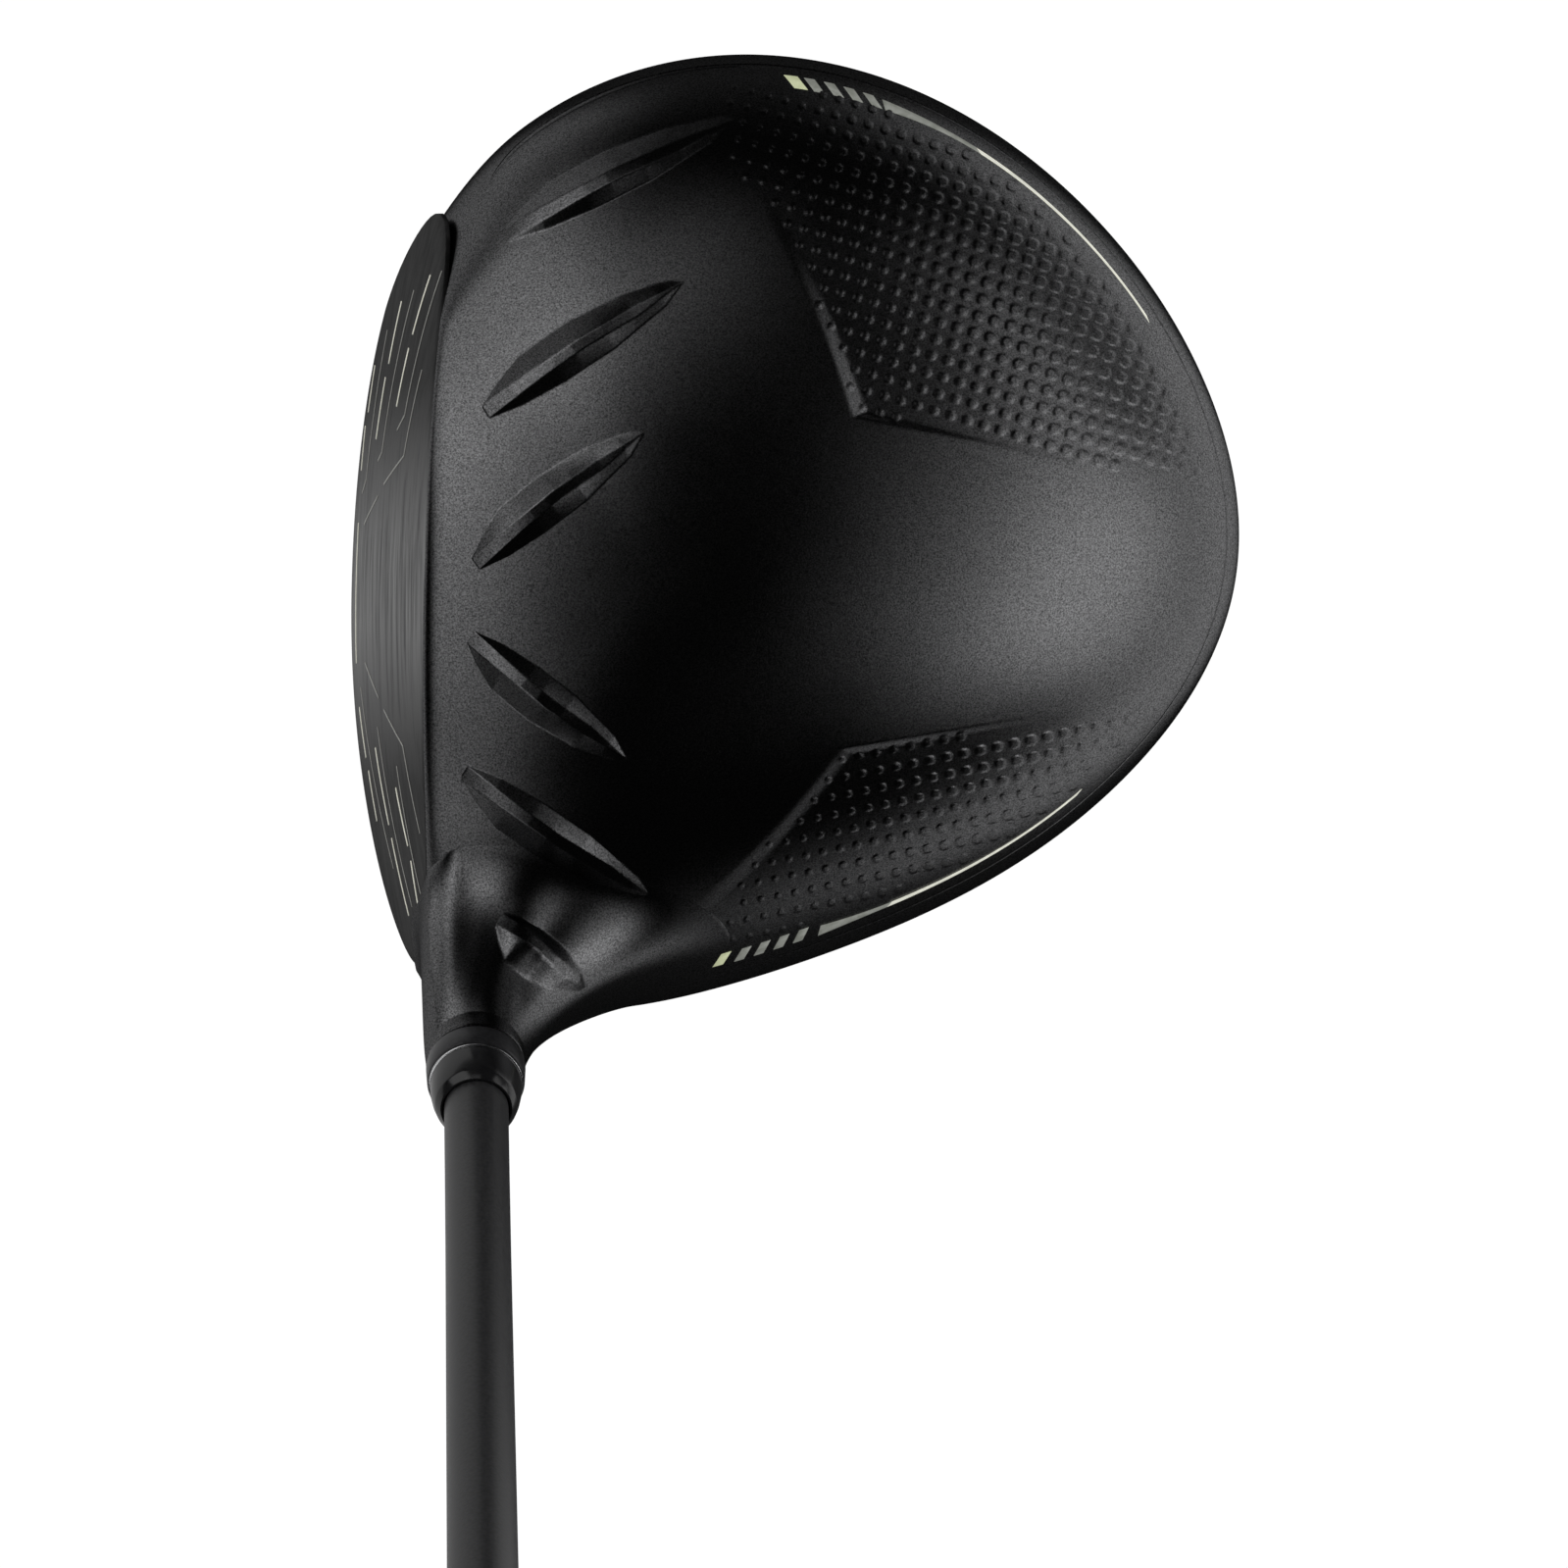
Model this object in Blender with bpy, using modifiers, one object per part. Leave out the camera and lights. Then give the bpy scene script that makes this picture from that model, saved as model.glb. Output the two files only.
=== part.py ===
"""Right-handed golf driver: hollow head, adjustable hosel, shaft, grip and rear weight.

Address position. +Z is up, +X runs from the face to the rear of the head and +Y from
the heel to the toe. The origin is the middle of the flat rest pad under the sole.
"""
import math

import bmesh
import bpy
import numpy as np
from mathutils import Matrix, Vector

MM = 0.001

# Head, in millimetres
OUTLINE_STEP = 20.0          # degrees between the outline radii below, from the rear
OUTLINE = [79.6, 81.0, 79.1, 77.1, 73.6, 66.9, 60.2, 57.2, 57.0, 57.0,
           57.6, 59.6, 61.8, 58.2, 55.2, 55.9, 61.4, 70.6]
CROWN_TOP = 62.0             # height of the crown's highest point
RIM_MEAN = 28.5              # height of the widest line of the head
RIM_TOE_RISE = 2.5
RIM_FRONT_RISE = 3.5
CROWN_POWER = 2.2
SOLE_POWER = 2.8
PAD_PART = 0.13              # radius of the rest pad as a part of the outline
FACE_RADIUS = 305.0          # bulge and roll
FACE_LOFT = math.radians(10.5)
FACE_MIDDLE = (-36.3, -6.6, 31.0)
FACE_THICK = 2.8
FACE_EDGE = 1.3
GAP = 0.3
CROWN_THICK = 1.1
SOLE_WALL = 1.6
LEDGE = 5.0
LEDGE_THICK = 1.2

# Shaft axis and hosel, in millimetres along the axis from the ground
LIE = math.radians(59.0)
AXIS_FOOT = (-23.0, -27.0, 0.0)
HOSEL_TOP = 72.0
HOSEL_R = 6.6
BORE_R = 5.6
SEAT_TOP = 23.0
SEAT_BOTTOM = 19.0
WELL_R = 4.8
SLEEVE_FOOT = 27.0
SLEEVE_R = 5.3
SLEEVE_BORE_R = 4.55
SHAFT_TIP = 41.6
TIP_R = 4.25
BUTT_R = 7.6
TIP_PARALLEL = 110.0
CLUB_LENGTH = 1162.0
GRIP_LENGTH = 270.0

# Rear weight, in millimetres
WEIGHT_AT = (62.0, 7.0)
WEIGHT_HALF = 10.0
WEIGHT_TRAVEL = 9.0
POCKET_HALF = 20.0
POCKET_SIDE = 7.5
POCKET_DEPTH = 12.5


# ---------------------------------------------------------------- scene and looks

for old in list(bpy.data.objects):
    bpy.data.objects.remove(old, do_unlink=True)

driver = bpy.data.collections.new("golf_driver")
cutters = bpy.data.collections.new("cutters")
bpy.context.scene.collection.children.link(driver)
bpy.context.scene.collection.children.link(cutters)


def material(name, colour, roughness, metallic):
    mat = bpy.data.materials.new(name)
    mat.use_nodes = True
    shader = mat.node_tree.nodes["Principled BSDF"]
    shader.inputs["Base Color"].default_value = (*colour, 1.0)
    shader.inputs["Roughness"].default_value = roughness
    shader.inputs["Metallic"].default_value = metallic
    mat.diffuse_color = (*colour, 1.0)
    return mat


BODY_BLACK = material("body_black", (0.012, 0.012, 0.013), 0.42, 0.3)
CROWN_BLACK = material("crown_black", (0.014, 0.014, 0.015), 0.45, 0.2)
FACE_STEEL = material("face_steel", (0.30, 0.30, 0.31), 0.32, 1.0)
BRIGHT_STEEL = material("bright_steel", (0.55, 0.55, 0.56), 0.25, 1.0)
DARK_STEEL = material("dark_steel", (0.10, 0.10, 0.11), 0.35, 1.0)
BOLT_STEEL = material("bolt_steel", (0.22, 0.22, 0.23), 0.3, 1.0)
TUNGSTEN = material("tungsten", (0.18, 0.18, 0.19), 0.4, 1.0)
BADGE = material("badge_aluminium", (0.45, 0.46, 0.47), 0.3, 1.0)
GASKET = material("gasket_rubber", (0.02, 0.02, 0.02), 0.8, 0.0)
SLEEVE = material("sleeve_aluminium", (0.03, 0.03, 0.033), 0.3, 0.8)
FERRULE = material("ferrule_plastic", (0.010, 0.010, 0.011), 0.2, 0.0)
SHAFT = material("shaft_composite", (0.030, 0.030, 0.033), 0.45, 0.2)
PLUG = material("plug_brass", (0.60, 0.42, 0.16), 0.4, 1.0)
TAPE = material("grip_tape", (0.55, 0.52, 0.42), 0.8, 0.0)
GRIP = material("grip_rubber", (0.018, 0.018, 0.019), 0.85, 0.0)


def finish(name, mesh, mat, parent=None, collection=driver, smooth=math.radians(32)):
    obj = bpy.data.objects.new(name, mesh)
    if mat is not None:
        mesh.materials.append(mat)
    mesh.shade_smooth()
    mesh.set_sharp_from_angle(angle=smooth)
    collection.objects.link(obj)
    obj.parent = parent
    return obj


def as_cutter(obj):
    obj.hide_render = True
    obj.display_type = "WIRE"
    return obj


def boolean(obj, other, operation):
    mod = obj.modifiers.new(operation.lower(), "BOOLEAN")
    mod.operation = operation
    mod.solver = "EXACT"
    mod.object = other
    return mod


# ---------------------------------------------------------------- lofted solids

def mesh_from(name, points, faces):
    """Closed mesh from points in millimetres, with its faces turned outwards."""
    bm = bmesh.new()
    verts = [bm.verts.new([c * MM for c in p]) for p in points]
    for face in faces:
        bm.faces.new([verts[i] for i in face])
    bmesh.ops.recalc_face_normals(bm, faces=bm.faces)
    if bm.calc_volume(signed=True) < 0:
        bmesh.ops.reverse_faces(bm, faces=bm.faces)
    mesh = bpy.data.meshes.new(name)
    bm.to_mesh(mesh)
    bm.free()
    return mesh


def loft(name, rings, first=None, last=None):
    """Skin a run of equal rings. A first or last point closes that end to a pole,
    otherwise the end ring is filled flat."""
    count = len(rings[0])
    points = [p for ring in rings for p in ring]
    faces = []
    for k in range(len(rings) - 1):
        for i in range(count):
            j = (i + 1) % count
            faces.append((k * count + i, k * count + j,
                          (k + 1) * count + j, (k + 1) * count + i))
    for pole, start in ((first, 0), (last, (len(rings) - 1) * count)):
        if pole is None:
            faces.append(tuple(start + i for i in range(count)))
        else:
            points.append(pole)
            for i in range(count):
                faces.append((start + i, start + (i + 1) % count, len(points) - 1))
    return mesh_from(name, points, faces)


def turned(name, profile, mat, parent, steps=32, collection=driver):
    """Turn a profile of (radius, height) in millimetres, outer side from the top down."""
    bm = bmesh.new()
    verts = [bm.verts.new((r * MM, 0.0, h * MM)) for r, h in profile]
    for a, b in zip(verts, verts[1:]):
        bm.edges.new((a, b))
    if profile[0][0] > 0 and profile[-1][0] > 0:
        bm.edges.new((verts[-1], verts[0]))
    mesh = bpy.data.meshes.new(name)
    bm.to_mesh(mesh)
    bm.free()
    if mat is not None:
        mesh.materials.append(mat)
    obj = bpy.data.objects.new(name, mesh)
    collection.objects.link(obj)
    obj.parent = parent
    screw = obj.modifiers.new("turn", "SCREW")
    screw.steps = steps
    screw.render_steps = steps
    screw.use_merge_vertices = True
    screw.merge_threshold = 0.000001
    screw.use_smooth_shade = True
    return obj


def prism(name, outline, low, high, mat, parent, collection=driver):
    """Straight solid on a flat outline, from height low to height high."""
    rings = [[(x, y, z) for x, y in outline] for z in (low, high)]
    return finish(name, loft(name, rings), mat, parent, collection)


def box_outline(half_x, half_y, cut=0.0):
    if cut == 0.0:
        return [(-half_x, -half_y), (half_x, -half_y), (half_x, half_y), (-half_x, half_y)]
    corners = []
    for sx, sy in ((-1, -1), (1, -1), (1, 1), (-1, 1)):
        near_x = (sx * (half_x - cut), sy * half_y)
        near_y = (sx * half_x, sy * (half_y - cut))
        corners += [near_y, near_x] if sx * sy > 0 else [near_x, near_y]
    return corners


# ---------------------------------------------------------------- head surfaces

def periodic_slopes(values):
    """Slopes of the smooth closed curve through evenly spaced values."""
    n = len(values)
    system = np.zeros((n, n))
    right = np.zeros(n)
    for i in range(n):
        system[i, i] = 4.0
        system[i, (i - 1) % n] = 1.0
        system[i, (i + 1) % n] = 1.0
        right[i] = 3.0 * (values[(i + 1) % n] - values[(i - 1) % n])
    return np.linalg.solve(system, right)


SLOPES = periodic_slopes(OUTLINE)


def outline_radius(angle):
    place = math.degrees(angle) / OUTLINE_STEP
    i = math.floor(place)
    t = place - i
    n = len(OUTLINE)
    a, b = OUTLINE[i % n], OUTLINE[(i + 1) % n]
    p, q = SLOPES[i % n], SLOPES[(i + 1) % n]
    return (a * (2 * t**3 - 3 * t**2 + 1) + p * (t**3 - 2 * t**2 + t)
            + b * (3 * t**2 - 2 * t**3) + q * (t**3 - t**2))


def rim_height(angle):
    return RIM_MEAN + RIM_TOE_RISE * math.sin(angle) - RIM_FRONT_RISE * math.cos(angle)


def fullness(angle):
    """Exponent of the edge rollover: blunter at the front, finer at the rear."""
    return 0.62 + 0.10 * math.cos(angle)


def crown_z(r, angle, inset=0.0):
    part = min(r / (outline_radius(angle) - inset), 1.0)
    rim = rim_height(angle)
    return rim + (CROWN_TOP - inset - rim) * (1 - part**CROWN_POWER) ** fullness(angle)


def sole_z(r, angle, inset=0.0):
    part = min(r / (outline_radius(angle) - inset), 1.0)
    part = max(0.0, (part - PAD_PART) / (1 - PAD_PART))
    rise = 1 - (1 - part**SOLE_POWER) ** fullness(angle)
    return inset + (rim_height(angle) - inset) * rise


def at(r, angle, z):
    return (r * math.cos(angle), r * math.sin(angle), z)


def face_x(y, z, depth=0.0):
    """X of the face sphere, moved back into the head by depth."""
    cx = FACE_MIDDLE[0] + FACE_RADIUS * math.cos(FACE_LOFT)
    cz = FACE_MIDDLE[2] - FACE_RADIUS * math.sin(FACE_LOFT)
    radius = FACE_RADIUS - depth
    return cx - math.sqrt(radius**2 - (y - FACE_MIDDLE[1])**2 - (z - cz)**2)


def seam_radius(angle):
    """Edge of the crown opening: just inside the rim, behind the face and clear of
    the neck."""
    limits = [outline_radius(angle) - 1.9]
    if math.cos(angle) < -0.05:
        limits.append(-24.0 / math.cos(angle))
    neck_x, neck_y, neck_r = -23.0, -58.0, 18.0
    along = neck_x * math.cos(angle) + neck_y * math.sin(angle)
    off = neck_x**2 + neck_y**2 - along**2
    if along > 0 and off < neck_r**2:
        limits.append(along - math.sqrt(neck_r**2 - off))
    power = -12.0
    return sum(v**power for v in limits) ** (1 / power)


def axis_point(radius, around, s):
    """Point at a radius about the shaft axis; around is 0 to the rear and a quarter
    turn to the toe side."""
    x = AXIS_FOOT[0] + radius * math.cos(around)
    y = AXIS_FOOT[1] - s * math.cos(LIE) + radius * math.sin(around) * math.sin(LIE)
    z = s * math.sin(LIE) + radius * math.sin(around) * math.cos(LIE)
    return (x, y, z)


def axis_distance(x, y, z):
    """Distance from the shaft axis and position along it."""
    s = -(y - AXIS_FOOT[1]) * math.cos(LIE) + z * math.sin(LIE)
    off = (y - AXIS_FOOT[1]) * math.sin(LIE) + z * math.cos(LIE)
    return math.hypot(x - AXIS_FOOT[0], off), s


def neck_radius(s):
    """The hosel flares where it runs into the head."""
    t = min(max((64.0 - s) / 26.0, 0.0), 1.0)
    flare = 3.2 * t * t * (3 - 2 * t)
    t = min(max((36.0 - s) / 14.0, 0.0), 1.0)
    return HOSEL_R + flare - 3.0 * t * t * (3 - 2 * t)


def inside_head(x, y, z):
    r = math.hypot(x, y)
    angle = math.atan2(y, x)
    if r >= outline_radius(angle):
        return False
    return sole_z(r, angle) < z < crown_z(r, angle)


# ---------------------------------------------------------------- body shell

AROUND = 60
ANGLES = [2 * math.pi * i / AROUND for i in range(AROUND)]


def body_rings():
    """Outer sole, rim, crown border, ledge and inner wall as one closed section."""
    rings = []

    def ring(section):
        rings.append([section(a) for a in ANGLES])

    for part in (PAD_PART, 0.34, 0.50, 0.63, 0.74, 0.83, 0.90, 0.95, 0.985):
        ring(lambda a, p=part: at(p * outline_radius(a), a, sole_z(p * outline_radius(a), a)))
    ring(lambda a: at(outline_radius(a), a, rim_height(a)))
    for part in (0.1, 0.4, 1.0):
        def border(a, p=part):
            full = outline_radius(a)
            r = full + (seam_radius(a) - full) * p
            return at(r, a, crown_z(r, a))
        ring(border)
    step = CROWN_THICK + GAP
    ring(lambda a: at(seam_radius(a), a,
                      min(crown_z(seam_radius(a), a) - 0.9 * step,
                          crown_z(seam_radius(a), a, step))))
    ring(lambda a: at(seam_radius(a) - LEDGE, a, crown_z(seam_radius(a) - LEDGE, a, step)))
    under = step + LEDGE_THICK
    ring(lambda a: at(seam_radius(a) - LEDGE, a, crown_z(seam_radius(a) - LEDGE, a, under)))

    def inner_top(a):
        r = min(seam_radius(a), 0.93 * outline_radius(a))
        return at(r, a, crown_z(r, a, under))
    ring(inner_top)

    def inner_shoulder(a):
        r = 0.955 * (outline_radius(a) - 2.2)
        return at(r, a, crown_z(r, a, under) - 0.6)
    ring(inner_shoulder)
    ring(lambda a: at(outline_radius(a) - 2.0, a, rim_height(a)))
    for part in (0.96, 0.90, 0.82, 0.70, 0.50, 0.30):
        ring(lambda a, p=part: at(p * (outline_radius(a) - SOLE_WALL), a,
                                  sole_z(p * (outline_radius(a) - SOLE_WALL), a, SOLE_WALL)))
    return rings


body = finish("body_shell", loft("body_shell", body_rings(), (0, 0, 0), (0, 0, SOLE_WALL)),
              BODY_BLACK)


def front_block(depth):
    """Everything in front of the face sphere moved back by depth."""
    rows = [-4 + 6.0 * k for k in range(13)]
    columns = [-72 + 9.0 * k for k in range(17)]
    points = [(face_x(y, z, depth), y, z) for z in rows for y in columns]
    points += [(-80.0, y, z) for z in rows for y in columns]
    wide, tall = len(columns), len(rows)
    back = wide * tall
    faces = []
    for k in range(tall - 1):
        for i in range(wide - 1):
            quad = (k * wide + i, k * wide + i + 1, (k + 1) * wide + i + 1, (k + 1) * wide + i)
            faces.append(quad)
            faces.append(tuple(back + v for v in quad))
    border = [i for i in range(wide)]
    border += [k * wide + wide - 1 for k in range(1, tall)]
    border += [(tall - 1) * wide + i for i in range(wide - 2, -1, -1)]
    border += [k * wide for k in range(tall - 2, 0, -1)]
    for a, b in zip(border, border[1:] + border[:1]):
        faces.append((a, b, back + b, back + a))
    return mesh_from("front_block", points, faces)


front = as_cutter(finish("front_block", front_block(FACE_THICK + GAP), None,
                         collection=cutters))


def neck_foot(around):
    """Where a wall line of the neck meets the middle of the sole's wall."""
    low, high = -20.0, 50.0
    for _ in range(40):
        s = (low + high) / 2
        x, y, z = axis_point(neck_radius(s), around, s)
        r = math.hypot(x, y)
        if z < sole_z(r, math.atan2(y, x), 0.8):
            low = s
        else:
            high = s
    return high


NECK_SIDES = 32
neck_rings = []
for k in range(9):
    ring = []
    for i in range(NECK_SIDES):
        turn = 2 * math.pi * i / NECK_SIDES
        foot = neck_foot(turn)
        s = foot + (64.0 - foot) * k / 8
        ring.append(axis_point(neck_radius(s), turn, s))
    neck_rings.append(ring)
for radius, s in ((HOSEL_R, HOSEL_TOP - 0.6), (HOSEL_R - 0.4, HOSEL_TOP)):
    neck_rings.append([axis_point(radius, 2 * math.pi * i / NECK_SIDES, s)
                       for i in range(NECK_SIDES)])
foot_middle = tuple(sum(p[k] for p in neck_rings[0]) / NECK_SIDES for k in range(3))
neck = as_cutter(finish("neck", loft("neck", neck_rings, foot_middle, None), None,
                        collection=cutters))

boolean(body, front, "DIFFERENCE")
boolean(body, neck, "UNION")

shaft_axis = bpy.data.objects.new("shaft_axis", None)
shaft_axis.location = [c * MM for c in AXIS_FOOT]
shaft_axis.rotation_euler = (math.pi / 2 - LIE, 0.0, 0.0)
shaft_axis.empty_display_size = 0.05
driver.objects.link(shaft_axis)

bore = as_cutter(turned("hosel_bore", [
    (0, HOSEL_TOP + 8), (BORE_R, HOSEL_TOP + 8), (BORE_R, SEAT_TOP), (2.8, SEAT_TOP),
    (2.8, SEAT_BOTTOM), (WELL_R, SEAT_BOTTOM), (WELL_R, -8), (0, -8)],
    None, shaft_axis, 32, cutters))
boolean(body, bore, "DIFFERENCE")


# ---------------------------------------------------------------- frames on the sole

def sole_frame(name, x, y, level):
    """Empty on the sole with its Z along the outward normal and its Y along the
    row's Y when level is set."""
    h = 0.5

    def height(px, py):
        return sole_z(math.hypot(px, py), math.atan2(py, px))
    slope_x = (height(x + h, y) - height(x - h, y)) / (2 * h)
    slope_y = 0.0 if level else (height(x, y + h) - height(x, y - h)) / (2 * h)
    normal = Vector((slope_x, slope_y, -1.0)).normalized()
    across = Vector((0, 1, 0))
    across = (across - normal * across.dot(normal)).normalized()
    along = across.cross(normal)
    empty = bpy.data.objects.new(name, None)
    place = Matrix((along, across, normal)).transposed().to_4x4()
    place.translation = Vector((x, y, height(x, y))) * MM
    empty.matrix_world = place
    empty.empty_display_size = 0.01
    driver.objects.link(empty)
    return empty


weight_frame = sole_frame("weight_slide_axis", WEIGHT_AT[0], WEIGHT_AT[1], True)
badge_frame = sole_frame("badge_frame", 34.0, 3.0, False)


def head_core(inset):
    """The head's full outer form moved in by inset, used to trim inner housings."""
    rings = []
    for part in (PAD_PART, 0.4, 0.6, 0.74, 0.84, 0.91, 0.96, 0.99):
        rings.append([at(part * (outline_radius(a) - inset), a,
                         sole_z(part * (outline_radius(a) - inset), a, inset))
                      for a in ANGLES])
    rings.append([at(outline_radius(a) - inset, a, rim_height(a)) for a in ANGLES])
    for part in (0.97, 0.8, 0.5):
        rings.append([at(part * (outline_radius(a) - inset), a,
                         crown_z(part * (outline_radius(a) - inset), a, inset))
                      for a in ANGLES])
    return loft("head_core", rings, (0, 0, inset), (0, 0, CROWN_TOP - inset))


core = as_cutter(finish("head_core", head_core(0.7), None, collection=cutters))
housing = as_cutter(prism("weight_housing", box_outline(POCKET_SIDE + 1.8,
                                                        POCKET_HALF + 1.8, 2.0),
                          -POCKET_DEPTH - 1.8, 3.0, None, weight_frame, cutters))
boolean(housing, core, "INTERSECT")
boolean(body, housing, "UNION")
pocket = as_cutter(prism("weight_pocket", box_outline(POCKET_SIDE, POCKET_HALF, 1.5),
                         -POCKET_DEPTH, 12.0, None, weight_frame, cutters))
boolean(body, pocket, "DIFFERENCE")

BADGE_DEPTH = 0.85
badge_sides = 28


def badge_outline(grow):
    points = []
    for i in range(badge_sides):
        t = 2 * math.pi * i / badge_sides
        points.append(((5.5 + grow) * math.cos(t), (10.0 + grow) * math.sin(t)))
    return points


recess = as_cutter(prism("badge_recess", badge_outline(0.0), -BADGE_DEPTH, 4.0, None,
                         badge_frame, cutters))
boolean(body, recess, "DIFFERENCE")
badge = prism("sole_badge", badge_outline(-0.3), -0.55, -0.05, BADGE, badge_frame)


# ---------------------------------------------------------------- crown panel

def crown_edge(angle):
    return seam_radius(angle) - GAP


CROWN_PARTS = (0.22, 0.44, 0.62, 0.76, 0.86, 0.93, 0.975, 1.0)
crown_rings = []
for part in CROWN_PARTS:
    crown_rings.append([at(part * crown_edge(a), a, crown_z(part * crown_edge(a), a))
                        for a in ANGLES])
for part in reversed(CROWN_PARTS):
    def underside(a, p=part):
        r = p * crown_edge(a)
        z = crown_z(r, a, CROWN_THICK)
        if p == 1.0:
            z = min(z, crown_z(r, a) - 0.8 * CROWN_THICK)
        return at(r, a, z)
    crown_rings.append([underside(a) for a in ANGLES])
crown = finish("crown_shell", loft("crown_shell", crown_rings, (0, 0, CROWN_TOP),
                                   (0, 0, CROWN_TOP - CROWN_THICK)), CROWN_BLACK)

# Raised wedges on the crown: front tip and rear tip in plan, width and height
CROWN_RIDGES = [
    ((-18.0, 48.5), (11.0, 63.0), 4.0, 1.5),
    ((-21.0, 25.0), (5.0, 41.5), 4.4, 1.6),
    ((-22.0, 4.5), (-0.5, 21.0), 4.4, 1.6),
    ((-22.0, -9.0), (-3.0, -23.0), 4.4, 1.6),
    ((-21.0, -28.5), (1.0, -42.5), 4.2, 1.5),
]
NECK_RIDGE = ((-20.5, -46.0), (-10.0, -52.5), 3.6, 1.2)
RIDGE_STATIONS = (0.0, 0.16, 0.4, 0.65, 0.85, 1.0)
RIDGE_RISE = (0.25, 0.95, 1.0, 0.8, 0.45, 0.1)
RIDGE_WIDTH = (0.25, 0.8, 1.0, 0.9, 0.6, 0.2)


def ridge(name, front_tip, rear_tip, width, height):
    run = Vector(rear_tip) - Vector(front_tip)
    across = Vector((-run.y, run.x)).normalized()
    rings = []
    for t, rise, wide in zip(RIDGE_STATIONS, RIDGE_RISE, RIDGE_WIDTH):
        middle = Vector(front_tip) + run * t
        half = width * wide / 2
        ring = []
        for side, lift in ((-1, -0.5), (-0.75, rise * height), (0.5, rise * height * 0.7),
                           (1, -0.5)):
            p = middle + across * half * side
            r, a = p.length, math.atan2(p.y, p.x)
            ring.append((p.x, p.y, crown_z(r, a) + lift))
        rings.append(ring)
    return as_cutter(finish(name, loft(name, rings), None, collection=cutters))


for number, (front_tip, rear_tip, width, height) in enumerate(CROWN_RIDGES):
    boolean(crown, ridge("ridge_%d" % number, front_tip, rear_tip, width, height), "UNION")
boolean(body, ridge("neck_ridge", *NECK_RIDGE), "UNION")


# ---------------------------------------------------------------- face plate

PLATE_SIDES = 48
PLATE_MIDDLE = (-3.0, 31.0)


def plate_limit(turn, inset, depth):
    """Distance from the plate's middle to its edge in one direction."""
    low, high = 5.0, 80.0
    for _ in range(40):
        b = (low + high) / 2
        y = PLATE_MIDDLE[0] + b * math.cos(turn)
        z = PLATE_MIDDLE[1] + b * math.sin(turn)
        x = face_x(y, z, depth)
        away, s = axis_distance(x, y, z)
        clear = away > neck_radius(min(max(s, 20.0), 72.0)) + 0.9
        if inside_head(x, y, z) and clear and y > -52.0:
            low = b
        else:
            high = b
    return low - inset


def plate_ring(depth, inset, part=1.0):
    ring = []
    for i in range(PLATE_SIDES):
        turn = 2 * math.pi * i / PLATE_SIDES
        b = part * plate_limit(turn, inset, depth)
        y = PLATE_MIDDLE[0] + b * math.cos(turn)
        z = PLATE_MIDDLE[1] + b * math.sin(turn)
        ring.append((face_x(y, z, depth), y, z))
    return ring


plate_rings = [plate_ring(0.0, FACE_EDGE, part) for part in (0.3, 0.6, 0.85, 1.0)]
plate_rings.append(plate_ring(0.35, 0.4))
plate_rings.append(plate_ring(1.2, 0.05))
plate_rings += [plate_ring(FACE_THICK, 0.05, part) for part in (1.0, 0.85, 0.6, 0.3)]
pole_y, pole_z = PLATE_MIDDLE
face = finish("face_plate", loft("face_plate", plate_rings,
                                 (face_x(pole_y, pole_z), pole_y, pole_z),
                                 (face_x(pole_y, pole_z, FACE_THICK), pole_y, pole_z)),
              FACE_STEEL)


# ---------------------------------------------------------------- hosel bolt

washer = turned("bolt_seat_washer", [
    (4.3, SEAT_BOTTOM - 0.3), (4.3, SEAT_BOTTOM - 1.1), (3.0, SEAT_BOTTOM - 1.1),
    (3.0, SEAT_BOTTOM - 0.3)], BRIGHT_STEEL, shaft_axis, 24)
ring_clip = turned("bolt_retaining_ring", [
    (4.5, 12.9), (4.5, 11.8), (3.2, 11.8), (3.2, 12.9)], DARK_STEEL, shaft_axis, 24)
bolt = turned("hosel_bolt", [
    (0, 37.0), (2.1, 37.0), (2.5, 36.4), (2.5, 17.5), (3.8, 17.5), (3.8, 14.0),
    (3.4, 13.4), (0, 13.4)], BOLT_STEEL, shaft_axis, 24)


def star_outline(outer, inner):
    points = []
    for i in range(12):
        r = outer if i % 2 == 0 else inner
        t = 2 * math.pi * i / 12
        points.append((r * math.cos(t), r * math.sin(t)))
    return points


star = as_cutter(prism("star_recess", star_outline(2.3, 1.7), 10.0, 15.8, None,
                       shaft_axis, cutters))
boolean(bolt, star, "DIFFERENCE")


# ---------------------------------------------------------------- shaft unit

sleeve = turned("adapter_sleeve", [
    (6.3, 75.6), (6.5, 75.3), (6.6, 72.7), (6.4, HOSEL_TOP + GAP), (SLEEVE_R, HOSEL_TOP + GAP),
    (SLEEVE_R, 28.0), (4.7, SLEEVE_FOOT), (2.8, SLEEVE_FOOT), (2.8, 40.0),
    (SLEEVE_BORE_R, 40.0), (SLEEVE_BORE_R, 75.6)], SLEEVE, shaft_axis, 32)
for i in range(8):
    turn = 2 * math.pi * (i + 0.5) / 8
    groove = as_cutter(prism("spline_%d" % i, box_outline(0.5, 0.45), 62.0, 70.0, None,
                             shaft_axis, cutters))
    groove.location = ((SLEEVE_R + 0.1) * MM * math.cos(turn),
                       (SLEEVE_R + 0.1) * MM * math.sin(turn), 0.0)
    groove.rotation_euler = (0.0, 0.0, turn)
    boolean(sleeve, groove, "DIFFERENCE")

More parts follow.
